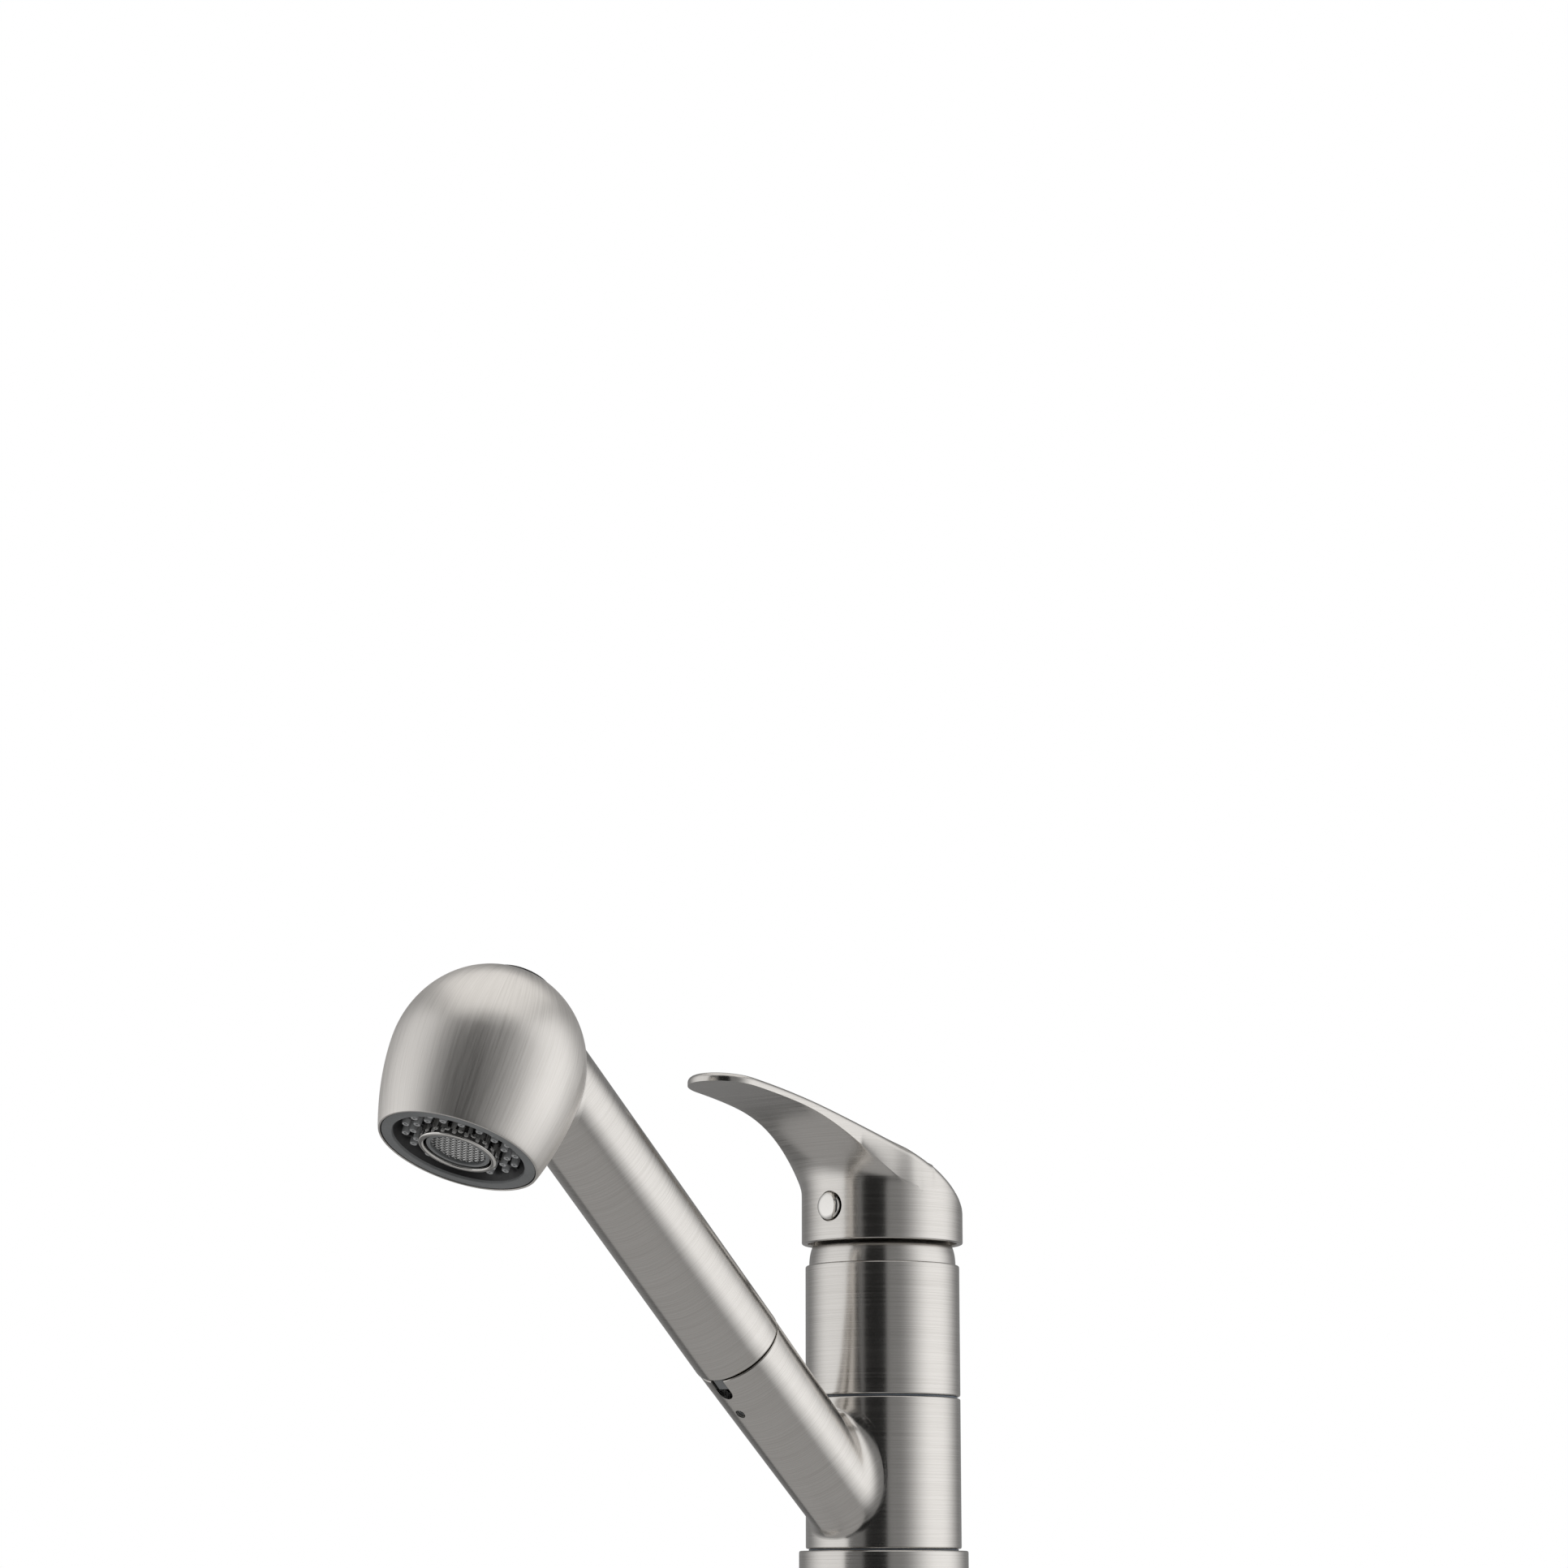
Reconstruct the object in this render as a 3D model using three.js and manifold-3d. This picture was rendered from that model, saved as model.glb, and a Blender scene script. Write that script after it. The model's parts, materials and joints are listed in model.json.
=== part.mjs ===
// Single-lever kitchen faucet with a pull-out spray wand, in millimetres.
// +Z is up and the spout points to -Y. The origin is the centre of the deck face under the base gasket.
import * as THREE from "three";
import { mergeVertices } from "three/addons/utils/BufferGeometryUtils.js";
import Module from "manifold-3d";

const wasm = await Module();
wasm.setup();

// ---- driving dimensions ----
const BODY_R = 24; // swivel body and upper body
const BODY_BORE = 21.2;
const BASE_R = 26.1;
const SEAM = 0.6; // height of each glide ring
const GASKET_H = 1.5;
const FLANGE_TOP = 11.7;
const SWIVEL_BOTTOM = FLANGE_TOP + SEAM;
const SWIVEL_TOP = 57.9;
const UPPER_BOTTOM = SWIVEL_TOP + SEAM;
const UPPER_TOP = 98.9;
const COLUMN_R = 20.5;
const COLUMN_BORE = 17.5;
const SHANK_R = 16.5;
const SHANK_BORE = 13.5;
const SHANK_BOTTOM = -52;
const DECK_MAX = 30; // thickest deck that the shank clamps

const SPOUT_ELEVATION = 41.8; // degrees above the horizon
const SPOUT_FOOT_Z = 11; // where the spout axis meets the body axis
const SOCKET_END = 89.5; // along the spout axis
const SOCKET_R = 13.95;
const SOCKET_FOOT_R = 12.9;
const SOCKET_BORE = 11.3;
const WAND_START = 90;
const WAND_R = 14.2;
const WAND_BORE = 12.2;
const WAND_END = 214;

const FACE_Y = -182.6; // centre of the spray face
const FACE_Z = 120.05;
const FACE_TILT = 66.4; // degrees that the face's normal points below the horizon
const HEAD_EDGE_R = 23.4;
const HEAD_MAX_R = 28.15;
const HEAD_MAX_T = 26.7; // height above the face of the widest ring
const HEAD_H = 56.8;
const HEAD_WALL = 2.2;
const BUTTON_BACK_TILT = 27; // degrees from vertical, towards the wand

const BUTTON_R = 9.6;

const PIVOT_Z = 88; // lever pin
const LIFT = 25; // degrees that the lever lifts
const HANDLE_R = 25.15;
const HANDLE_BOTTOM = 105.6;
const HANDLE_NECK_Z = 118.5;
const CAVITY_R = 23.3;
const CAVITY_TOP = 115.5;
const LEVER_TIP_CENTRE = 71.5; // centre of the lever's round tip, ahead of the body axis
const LEVER_TIP_R = 12;
const LEVER_EDGE = 3.4;
const LEVER_CROWN = 2.2;
const PLUG_Z = 116;
const STEM_W = 7;

const WIDE = 36; // facets on large rounds
const MID = 20;
const FINE = 12;

// ---- materials ----
const finish = (color, roughness, metalness) => new THREE.MeshStandardMaterial({ color, roughness, metalness });
const nickel = finish(0xb3afa9, 0.3, 1);
const chrome = finish(0xd9d5cf, 0.06, 1);
const brass = finish(0xb39a55, 0.35, 1);
const copper = finish(0xb5714a, 0.35, 1);
const steel = finish(0x9a9b9c, 0.35, 1);
const blackPlastic = finish(0x1a1a1b, 0.45, 0);
const greyPlastic = finish(0x63666a, 0.5, 0);
const whitePlastic = finish(0xdedcd4, 0.5, 0);
const rubber = finish(0x161616, 0.8, 0);
const ceramic = finish(0xeceae4, 0.2, 0);

// ---- solids ----
const rad = THREE.MathUtils.degToRad;

function signedVolume(geometry) {
  const p = geometry.getAttribute("position");
  const corner = [0, 1, 2].map(() => new THREE.Vector3());
  let sum = 0;
  for (let i = 0; i < geometry.index.count; i += 3) {
    corner.forEach((v, k) => v.fromBufferAttribute(p, geometry.index.getX(i + k)));
    sum += corner[0].dot(corner[1].clone().cross(corner[2]));
  }
  return sum / 6;
}

// A closed three.js geometry as a manifold solid whose faces point out.
function solid(geometry) {
  const bare = new THREE.BufferGeometry();
  bare.setAttribute("position", geometry.getAttribute("position"));
  if (geometry.index) bare.setIndex(geometry.index);
  const merged = mergeVertices(bare, 1e-4);
  const triVerts = new Uint32Array(merged.index.array);
  if (signedVolume(merged) < 0) triVerts.reverse();
  const vertProperties = merged.getAttribute("position").array;
  return new wasm.Manifold(new wasm.Mesh({ numProp: 3, vertProperties, triVerts }));
}

const cut = (whole, ...tools) => tools.reduce((rest, tool) => rest.subtract(tool), whole);
const join = (...parts) => parts.reduce((all, part) => all.add(part));

// A profile of [radius, height] points turned round +Z.
function turned(profile, facets = WIDE) {
  const points = profile.map(([r, z]) => new THREE.Vector2(r, z));
  return solid(new THREE.LatheGeometry(points, facets).rotateX(Math.PI / 2));
}

// A closed profile clear of the axis, turned round +Z.
const hoop = (profile, facets = WIDE) => turned([...profile, profile[0]], facets);

const rod = (r, low, high, facets = MID) => turned([[0, low], [r, low], [r, high], [0, high]], facets);

function tube(inner, outer, low, high, facets = WIDE) {
  return hoop([[inner, low], [outer, low], [outer, high], [inner, high]], facets);
}

const cone = (r0, r1, low, high, facets = WIDE) => turned([[0, low], [r0, low], [r1, high], [0, high]], facets);

function block(x, y, z) {
  const size = [x[1] - x[0], y[1] - y[0], z[1] - z[0]];
  const middle = [x, y, z].map(([low, high]) => (low + high) / 2);
  return solid(new THREE.BoxGeometry(...size).translate(...middle));
}

function rodAlongX(r, x0, x1, y, z, facets = FINE) {
  return rod(r, x0, x1, facets).rotate([0, 90, 0]).translate([0, y, z]);
}

// A rod that runs along -Y from y0 out to y1.
function rodAlongY(r, y0, y1, x, z, facets = FINE) {
  return rod(r, -y0, -y1, facets).rotate([90, 0, 0]).translate([x, 0, z]);
}

const faucet = new THREE.Group();

function place(name, part, material, parent = faucet) {
  const { vertProperties, triVerts } = part.getMesh();
  const geometry = new THREE.BufferGeometry();
  geometry.setAttribute("position", new THREE.BufferAttribute(new Float32Array(vertProperties), 3));
  geometry.setIndex(new THREE.BufferAttribute(new Uint32Array(triVerts), 1));
  geometry.computeVertexNormals();
  const mesh = new THREE.Mesh(geometry, material);
  mesh.name = name;
  parent.add(mesh);
}

// ---- frames ----
// +Z of the spout frame runs out along the spout, and its -Y side is the underside.
const spout = new THREE.Group();
spout.position.set(0, 0, SPOUT_FOOT_Z);
spout.rotation.x = rad(90 - SPOUT_ELEVATION);
faucet.add(spout);

// +Z of the head frame runs from the spray face into the head.
const head = new THREE.Group();
head.position.set(0, FACE_Y, FACE_Z);
head.rotation.x = -rad(90 - FACE_TILT);
faucet.add(head);

const spoutTilt = [90 - SPOUT_ELEVATION, 0, 0];
const toWorldFromSpout = (part) => part.rotate(spoutTilt).translate([0, 0, SPOUT_FOOT_Z]);
const toHeadFromWorld = (part) => part.translate([0, -FACE_Y, -FACE_Z]).rotate([90 - FACE_TILT, 0, 0]);
const toHeadFromSpout = (part) => toHeadFromWorld(toWorldFromSpout(part));

// ---- base: flange, column, shank and clamping hardware ----
function buildBase() {
  place("base_gasket", tube(17, 25.2, 0, GASKET_H), rubber);
  const flange = [[17, GASKET_H], [BASE_R, GASKET_H], [BASE_R, FLANGE_TOP - 0.6], [BASE_R - 0.6, FLANGE_TOP]];
  place("base_flange", hoop([...flange, [COLUMN_R + 0.3, FLANGE_TOP], [COLUMN_R + 0.3, 6.2], [17, 6.2]]), nickel);
  place("lower_glide_ring", tube(21.4, 23.1, FLANGE_TOP, SWIVEL_BOTTOM), greyPlastic);
  place("upper_glide_ring", tube(21.4, 23.1, SWIVEL_TOP, UPPER_BOTTOM), greyPlastic);

  const columnTop = 57.6;
  const column = tube(COLUMN_BORE, COLUMN_R, 6.4, columnTop);
  const hoseWindow = block([-30, 30], [-30, 3], [13, 52]);
  place("centre_column", cut(column, hoseWindow), brass);

  const shank = tube(SHANK_BORE, SHANK_R, SHANK_BOTTOM, 6.2);
  place("threaded_shank", shank, brass);
  const washerTop = -DECK_MAX;
  place("deck_washer_rubber", tube(17, 27, washerTop - 3, washerTop), rubber);
  place("deck_washer_steel", tube(17, 27, washerTop - 4.8, washerTop - 3.1), steel);
  const nutTop = washerTop - 5;
  const nutHex = solid(new THREE.CylinderGeometry(24, 24, 12, 6).rotateX(Math.PI / 2).translate(0, 0, nutTop - 6));
  const screwHole = (side) => rod(2.2, nutTop - 12.5, nutTop + 0.5, FINE).translate([side * 20.2, 0, 0]);
  place("mounting_nut", cut(nutHex, rod(16.8, nutTop - 13, nutTop + 1, WIDE), screwHole(-1), screwHole(1)), brass);
  for (const [name, side] of [["nut_lock_screw_left", -1], ["nut_lock_screw_right", 1]]) {
    const screw = join(rod(1.9, nutTop - 12.6, nutTop - 0.1, FINE), rod(3, nutTop - 15.4, nutTop - 12.6, 6));
    place(name, screw.translate([side * 20.2, 0, 0]), steel);
  }
}

// ---- water tubes inside the column ----
const TUBES = [
  ["hot_supply_tube", -7.5, 5],
  ["cold_supply_tube", 7.5, 5],
  ["mixed_water_tube", 0, 9.2],
];
const TUBE_R = 3.8;

function buildTubes() {
  for (const [name, x, y] of TUBES) {
    const pipe = tube(2.8, TUBE_R, SHANK_BOTTOM - 12, 62, FINE);
    place(name, pipe.translate([x, y, 0]), copper);
  }
}

// ---- upper body, cartridge and dome ----
function buildCartridge() {
  const wall = [[21, UPPER_BOTTOM], [BODY_R, UPPER_BOTTOM], [BODY_R, UPPER_TOP - 0.8], [BODY_R - 0.8, UPPER_TOP]];
  place("upper_body", hoop([...wall, [21, UPPER_TOP]]), nickel);

  const ports = (r, low, high) => TUBES.map(([, x, y]) => rod(r, low, high, FINE).translate([x, y, 0]));
  place("valve_seat", cut(rod(20.7, UPPER_BOTTOM + 0.2, 64, WIDE), ...ports(TUBE_R + 0.2, 57, 65)), brass);
  place("port_seal", cut(rod(14.5, 64.2, 65.2, WIDE), ...ports(2.6, 63, 66)), rubber);
  place("cartridge_base", cut(rod(19.8, 65.4, 69, WIDE), ...ports(2.8, 65, 70)), whitePlastic);
  place("fixed_ceramic_disc", cut(rod(17, 69.2, 73, WIDE), ...ports(2.6, 69, 74)), ceramic);

  const shell = [[18.5, 69.2], [20, 69.2], [20, 90], [16.5, 90.4], [16.5, 97], [11.5, 97], [11.5, 95]];
  place("cartridge_housing", hoop([...shell, [15.2, 95], [15.2, 90], [18.5, 89.6]]), whitePlastic);
  const nut = [[16.8, 90.7], [20.7, 90.7], [20.7, 97], [18.2, 97.2], [18.2, 100], [16.8, 100]];
  place("cartridge_nut", hoop(nut), brass);

  // The dome clears the lever's cavity through the whole lift.
  const outside = [[22.85, UPPER_TOP + 0.1], [22.7, 101], [22.2, 103.5], [21.5, 105.5], [20.3, 107], [18.5, 107.8]];
  const inside = [[18.5, 106.6], [19.8, 106], [20.6, 104.8], [21.2, 103], [21.5, 101], [21.5, UPPER_TOP + 0.1]];
  place("dome_collar", hoop([...outside, ...inside]), nickel);

  // Rotor: turns with the lever, carries its pin and guides the sliding disc.
  const rotorBody = join(rod(18, 81, 89.3, WIDE), rod(11.2, 89, 98.5, WIDE));
  const stemSlot = block([-3.9, 3.9], [-8.6, 9.6], [80, 99]);
  const pinHole = rodAlongX(1.7, -13, 13, 0, PIVOT_Z);
  place("cartridge_rotor", cut(rotorBody, stemSlot, pinHole), whitePlastic);
  place("lever_pin", rodAlongX(1.5, -11, 11, 0, PIVOT_Z), steel);

  place("sliding_ceramic_disc", cut(rod(12.5, 73.2, 77.1, WIDE), rod(6, 73, 74.6, MID)), ceramic);
  place("disc_carrier", cut(rod(12, 77.3, 79.8, WIDE), rod(3.2, 77.9, 80, MID)), greyPlastic);

  const bar = block([-STEM_W / 2, STEM_W / 2], [-STEM_W / 2, STEM_W / 2], [81, 120]);
  const stem = cut(join(bar, rod(2.5, 78.3, 82, FINE)), rodAlongX(1.8, -5, 5, 0, PIVOT_Z));
  place("lever_stem", stem, steel);
}

// ---- lever ----
// Height of the lever's top edge at u millimetres ahead of the body axis.
const leverTop = (u) => 117 + 37.6 * Math.pow(1 - Math.exp(-Math.max(u + HANDLE_R, 0) / 38), 1.8);
// Half-width of the lever at u.
function leverHalf(u) {
  if (u <= 0) return Math.sqrt(Math.max(HANDLE_R ** 2 - u ** 2, 0));
  return LEVER_TIP_R + (HANDLE_R - LEVER_TIP_R) * Math.exp(-Math.pow(u / 26, 1.5));
}

// Plan outline: angle a is 0 at the lever's tip and PI at the back of its round base.
function outlineAt(a) {
  const side = Math.sin(a) < 0 ? -1 : 1;
  const fromFront = Math.abs(a > Math.PI ? 2 * Math.PI - a : a);
  if (fromFront >= Math.PI / 2) return [side * HANDLE_R * Math.sin(fromFront), HANDLE_R * Math.cos(fromFront)];
  const straight = 73;
  const run = (1 - fromFront / (Math.PI / 2)) * (straight + 19);
  if (run < straight) {
    const u = (run * LEVER_TIP_CENTRE) / straight;
    return [side * leverHalf(u), u];
  }
  const turn = ((run - straight) / 19) * (Math.PI / 2);
  return [side * leverHalf(LEVER_TIP_CENTRE) * Math.cos(turn), LEVER_TIP_CENTRE + LEVER_TIP_R * Math.sin(turn)];
}

function leverRings(steps) {
  const rings = [];
  const around = (pointAt) => {
    const ring = [];
    for (let i = 0; i < steps; i++) ring.push(pointAt((2 * Math.PI * i) / steps));
    rings.push(ring);
  };
  const base = (a) => [HANDLE_R * Math.sin(a), HANDLE_R * Math.cos(a)];
  const neckZ = (u) => Math.min(HANDLE_NECK_Z, leverTop(u) - LEVER_EDGE - 2);
  around((a) => [base(a)[0], -base(a)[1], HANDLE_BOTTOM]);
  for (const s of [0, 0.2, 0.4, 0.6, 0.8, 1]) {
    around((a) => {
      const [x, u] = outlineAt(a);
      const [bx, bu] = base(a);
      const under = leverTop(u) - LEVER_EDGE;
      return [bx + (x - bx) * s * s, -(bu + (u - bu) * s * s), neckZ(u) + (under - neckZ(u)) * s];
    });
  }
  around((a) => {
    const [x, u] = outlineAt(a);
    return [x, -u, leverTop(u) - 1.2];
  });
  const middle = 25;
  for (const k of [0.95, 0.72, 0.45, 0.18]) {
    around((a) => {
      const [x, u] = outlineAt(a);
      const [tx, tu] = [x * k, middle + (u - middle) * k];
      const across = tx / Math.max(leverHalf(tu), 1);
      return [tx, -tu, leverTop(tu) + LEVER_CROWN * (1 - across ** 2)];
    });
  }
  return rings;
}

// Rings of equal length joined by triangles and closed by a fan at each end.
function skin(rings, first, last) {
  const steps = rings[0].length;
  const points = [...rings.flat(), first, last];
  const index = [];
  for (let r = 0; r + 1 < rings.length; r++) {
    for (let i = 0; i < steps; i++) {
      const [a, b] = [r * steps + i, r * steps + ((i + 1) % steps)];
      index.push(a, b, a + steps, b, b + steps, a + steps);
    }
  }
  const top = (rings.length - 1) * steps;
  for (let i = 0; i < steps; i++) {
    const next = (i + 1) % steps;
    index.push(next, i, points.length - 2, top + i, top + next, points.length - 1);
  }
  const geometry = new THREE.BufferGeometry();
  geometry.setAttribute("position", new THREE.Float32BufferAttribute(points.flat(), 3));
  geometry.setIndex(index);
  return solid(geometry);
}

function buildLever() {
  const centreTop = [0, -25, leverTop(25) + LEVER_CROWN];
  const outer = skin(leverRings(56), [0, 0, HANDLE_BOTTOM], centreTop);
  const cavity = turned([[0, 100], [CAVITY_R, 100], [CAVITY_R, 110], [14, CAVITY_TOP], [0, CAVITY_TOP]]);
  const boss = rod(7.5, 112.5, CAVITY_TOP + 0.5, MID);
  const socket = block([-3.7, 3.7], [-3.7, 3.7], [100, 120.5]);
  const screwHole = rodAlongY(2.7, -3, -24, 0, PLUG_Z);
  const plugHole = rodAlongY(4.45, -21.5, -30, 0, PLUG_Z, MID);
  place("lever_handle", cut(join(cut(outer, cavity), boss), socket, screwHole, plugHole), nickel);
  place("lever_set_screw", rodAlongY(2.4, -4, -10.5, 0, PLUG_Z), steel);
  const plug = turned([[0, 21.8], [4.25, 21.8], [4.25, 25.7], [3.6, 26.3], [2, 26.65], [0, 26.75]], MID);
  place("index_plug", plug.rotate([90, 0, 0]).translate([0, 0, PLUG_Z]), chrome);
}

// ---- swivel body and spout socket ----
const SLOT_LOW = 82.5; // along the spout axis
const SLOT_W = 5;
const DRAIN_AT = 74.5;

function buildSwivel() {
  const bevel = 0.6;
  const outer = [[0, SWIVEL_BOTTOM], [BODY_R - bevel, SWIVEL_BOTTOM], [BODY_R, SWIVEL_BOTTOM + bevel]];
  const sleeve = turned([...outer, [BODY_R, SWIVEL_TOP - bevel], [BODY_R - bevel, SWIVEL_TOP], [0, SWIVEL_TOP]]);
  const arm = toWorldFromSpout(cone(SOCKET_FOOT_R, SOCKET_R, 12, SOCKET_END));
  const underCut = block([-40, 40], [-120, 40], [-40, SWIVEL_BOTTOM + bevel]);
  const bore = rod(BODY_BORE, 0, 70, WIDE);
  const passage = toWorldFromSpout(rod(SOCKET_BORE, 18, 100, WIDE));
  const slot = toWorldFromSpout(block([-SLOT_W / 2, SLOT_W / 2], [-16, -8], [SLOT_LOW, 100]));
  const drain = toWorldFromSpout(rodAlongY(1.9, -8, -16, 0, DRAIN_AT));
  place("swivel_body", cut(join(sleeve, cut(arm, underCut)), bore, passage, slot, drain), nickel);

  const liner = tube(10, 11, 60, 89);
  const notch = block([-SLOT_W / 2, SLOT_W / 2], [-16, -8], [SLOT_LOW - 1, 100]);
  const pocket = rodAlongY(1.8, -9.5, -12, 0, DRAIN_AT);
  place("socket_liner", cut(liner, notch, pocket), greyPlastic, spout);
  place("liner_screw", rodAlongY(1.6, -10.1, -12.6, 0, DRAIN_AT), steel, spout);
  place("hose_guide_bush", hoop([[7.5, 36], [11, 36], [11, 44], [9.2, 44], [7.5, 40.5]]), blackPlastic, spout);
}

// ---- pull-out wand ----
function headProfile(inset) {
  const edge = HEAD_EDGE_R - inset;
  const widest = HEAD_MAX_R - inset;
  const low = [0, 0.25, 0.5, 0.75].map((k) => [widest - (widest - edge) * Math.pow(1 - k, 1.87), k * HEAD_MAX_T]);
  const high = [];
  for (let i = 0; i <= 9; i++) {
    const a = (Math.PI / 2) * (i / 9);
    high.push([widest * Math.cos(a), HEAD_MAX_T + (HEAD_H - inset - HEAD_MAX_T) * Math.sin(a)]);
  }
  high[9][0] = 0;
  return [...low, ...high];
}

// The button's axis passes through the centre of the head's widest ring.
const buttonTilt = [-(BUTTON_BACK_TILT - (90 - FACE_TILT)), 0, 0];
const onButton = (part) => part.rotate(buttonTilt).translate([0, 0, HEAD_MAX_T]);

function buildWandTube() {
  const grip = [[WAND_BORE, WAND_START], [WAND_R - 1, WAND_START], [WAND_R, WAND_START + 1.4]];
  const gripTube = hoop([...grip, [WAND_R, WAND_END], [WAND_BORE, WAND_END]]);
  const headSolid = turned([[0, -1], ...headProfile(-0.3)]);
  const headInSpout = headSolid
    .rotate([-(90 - FACE_TILT), 0, 0])
    .translate([0, FACE_Y, FACE_Z - SPOUT_FOOT_Z])
    .rotate([-(90 - SPOUT_ELEVATION), 0, 0]);
  place("wand_grip", cut(gripTube, headInSpout), nickel, spout);

  const steps = [[7.6, 63], [9.4, 63], [9.7, 65], [9.7, 90.4], [11.9, 90.4], [11.9, 122], [7.6, 122]];
  place("wand_spigot", hoop(steps), greyPlastic, spout);
  place("spigot_o_ring", tube(11.95, 12.15, 112, 114), rubber, spout);
  place("alignment_key", block([-2, 2], [-13.3, -10], [85.4, 89.9]), greyPlastic, spout);
  place("inlet_nipple", tube(5, 7.2, 67, 96, MID), brass, spout);
  place("inlet_strainer", cut(rod(6.8, 96.4, 97.2), ...[-3, 0, 3].map((x) => rod(1, 96, 98, FINE).translate([x, 0, 0]))), steel, spout);
  const cage = [[3.4, 98], [7.3, 98], [7.3, 112.6], [4.2, 112.6], [4.2, 111.6], [5.6, 111.6], [5.6, 100.2], [3.4, 100]];
  place("check_valve_body", hoop(cage, MID), whitePlastic, spout);
  place("check_valve_poppet", join(rod(4.8, 100.6, 102.2, MID), rod(1.2, 102, 108, FINE)), blackPlastic, spout);
  place("waterway_tube", tube(4.8, 6.8, 113, 190, MID), whitePlastic, spout);
}

function buildHead() {
  const gripHole = toHeadFromSpout(rod(WAND_BORE, 150, WAND_END, WIDE));
  const buttonHole = onButton(rod(BUTTON_R + 0.4, 20, 40, MID));
  const outer = turned([[0, 0], ...headProfile(0)]);
  const inner = turned([[0, -1], [HEAD_EDGE_R - HEAD_WALL, -1], ...headProfile(HEAD_WALL)]);
  const seat = rod(22.8, -1, 4.2, WIDE);
  place("head_shell", cut(outer, inner, seat, gripHole, buttonHole), nickel, head);

  place("face_ring", hoop([[19.6, 0.2], [22.5, 0.2], [22.5, 4], [18.4, 4], [18.4, 3.2]]), greyPlastic, head);
  const plate = hoop([[12, 5.6], [17.9, 5.6], [18.1, 4.4], [20.8, 4.4], [20.8, 7.8], [12, 7.8]]);
  place("nozzle_plate", plate, blackPlastic, head);
  const mat = tube(12.2, 20.4, 8, 9.2);
  place("nozzle_mat", mat, rubber, head);

  const collar = [[9.9, 1], [11.2, 1], [11.5, 1.5], [11.5, 13], [9, 13], [9, 8], [9.9, 7]];
  place("aerator_collar", hoop(collar), chrome, head);
  place("aerator_cage", tube(8.2, 9.5, 1.7, 6.6, MID), greyPlastic, head);
  const bars = [-4.5, 0, 4.5];
  const across = (x) => block([x - 0.35, x + 0.35], [-8.1, 8.1], [2.2, 3]);
  const along = (y) => block([-8.1, 8.1], [y - 0.35, y + 0.35], [2.2, 3]);
  const grid = join(...bars.map(across), ...bars.map(along), tube(7.4, 8.1, 2.2, 3, MID)).intersect(rod(8.1, 2, 3.2, MID));
  place("aerator_screen", grid, steel, head);

  place("spray_chamber", hoop([[3, 13.4], [20.4, 13.4], [20.4, 9.6], [21, 9.6], [21, 17], [8, 19], [8, 26], [3, 26]]), greyPlastic, head);
  place("diverter_spool", onButton(rod(2.2, 3.5, 24.8, FINE)), whitePlastic, head);
  const capTop = [[BUTTON_R, 28.3], [BUTTON_R - 0.8, 29], [6, 30.3], [3, 30.8], [0, 31]];
  const button = onButton(turned([[0, 25], [BUTTON_R, 25], ...capTop], MID));
  place("mode_button", button, rubber, head);
  place("button_spring", onButton(tube(4, 5.2, 15, 24.6, FINE)), steel, head);
}

buildBase();
buildTubes();
buildCartridge();
buildLever();
buildSwivel();
buildWandTube();
buildHead();

export default faucet;
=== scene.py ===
"""Single-lever kitchen faucet with a pull-out spray wand: surfaces, materials, light and camera."""
import json
import math

import bmesh
import bpy
from mathutils import Matrix, Vector


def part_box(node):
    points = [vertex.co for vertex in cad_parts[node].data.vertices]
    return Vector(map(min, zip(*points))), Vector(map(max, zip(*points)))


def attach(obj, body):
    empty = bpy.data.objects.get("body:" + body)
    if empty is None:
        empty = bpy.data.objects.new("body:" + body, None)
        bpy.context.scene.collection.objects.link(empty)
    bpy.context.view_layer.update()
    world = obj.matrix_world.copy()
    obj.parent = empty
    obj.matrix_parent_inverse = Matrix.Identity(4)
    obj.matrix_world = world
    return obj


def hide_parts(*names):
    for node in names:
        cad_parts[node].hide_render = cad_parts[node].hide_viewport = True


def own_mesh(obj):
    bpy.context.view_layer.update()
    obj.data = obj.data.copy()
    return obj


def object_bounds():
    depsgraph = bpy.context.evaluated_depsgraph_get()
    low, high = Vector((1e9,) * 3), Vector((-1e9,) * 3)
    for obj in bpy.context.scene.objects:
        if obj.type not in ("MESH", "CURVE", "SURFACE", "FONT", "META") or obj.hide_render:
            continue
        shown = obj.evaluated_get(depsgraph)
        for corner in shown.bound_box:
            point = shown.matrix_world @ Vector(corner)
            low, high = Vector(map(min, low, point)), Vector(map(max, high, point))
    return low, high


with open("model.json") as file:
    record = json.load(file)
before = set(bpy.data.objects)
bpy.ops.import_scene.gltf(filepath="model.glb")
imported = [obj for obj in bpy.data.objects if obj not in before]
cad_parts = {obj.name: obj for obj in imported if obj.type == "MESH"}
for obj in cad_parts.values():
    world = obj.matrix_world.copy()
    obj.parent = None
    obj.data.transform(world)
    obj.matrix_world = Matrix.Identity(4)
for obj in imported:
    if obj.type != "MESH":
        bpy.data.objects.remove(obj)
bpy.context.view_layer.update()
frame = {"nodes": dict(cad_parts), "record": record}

MM = 0.001
TAU = 2 * math.pi


def mm_box(node):
    """A CAD node's lowest and highest corners in millimetres."""
    return tuple(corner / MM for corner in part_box(node))


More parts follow.
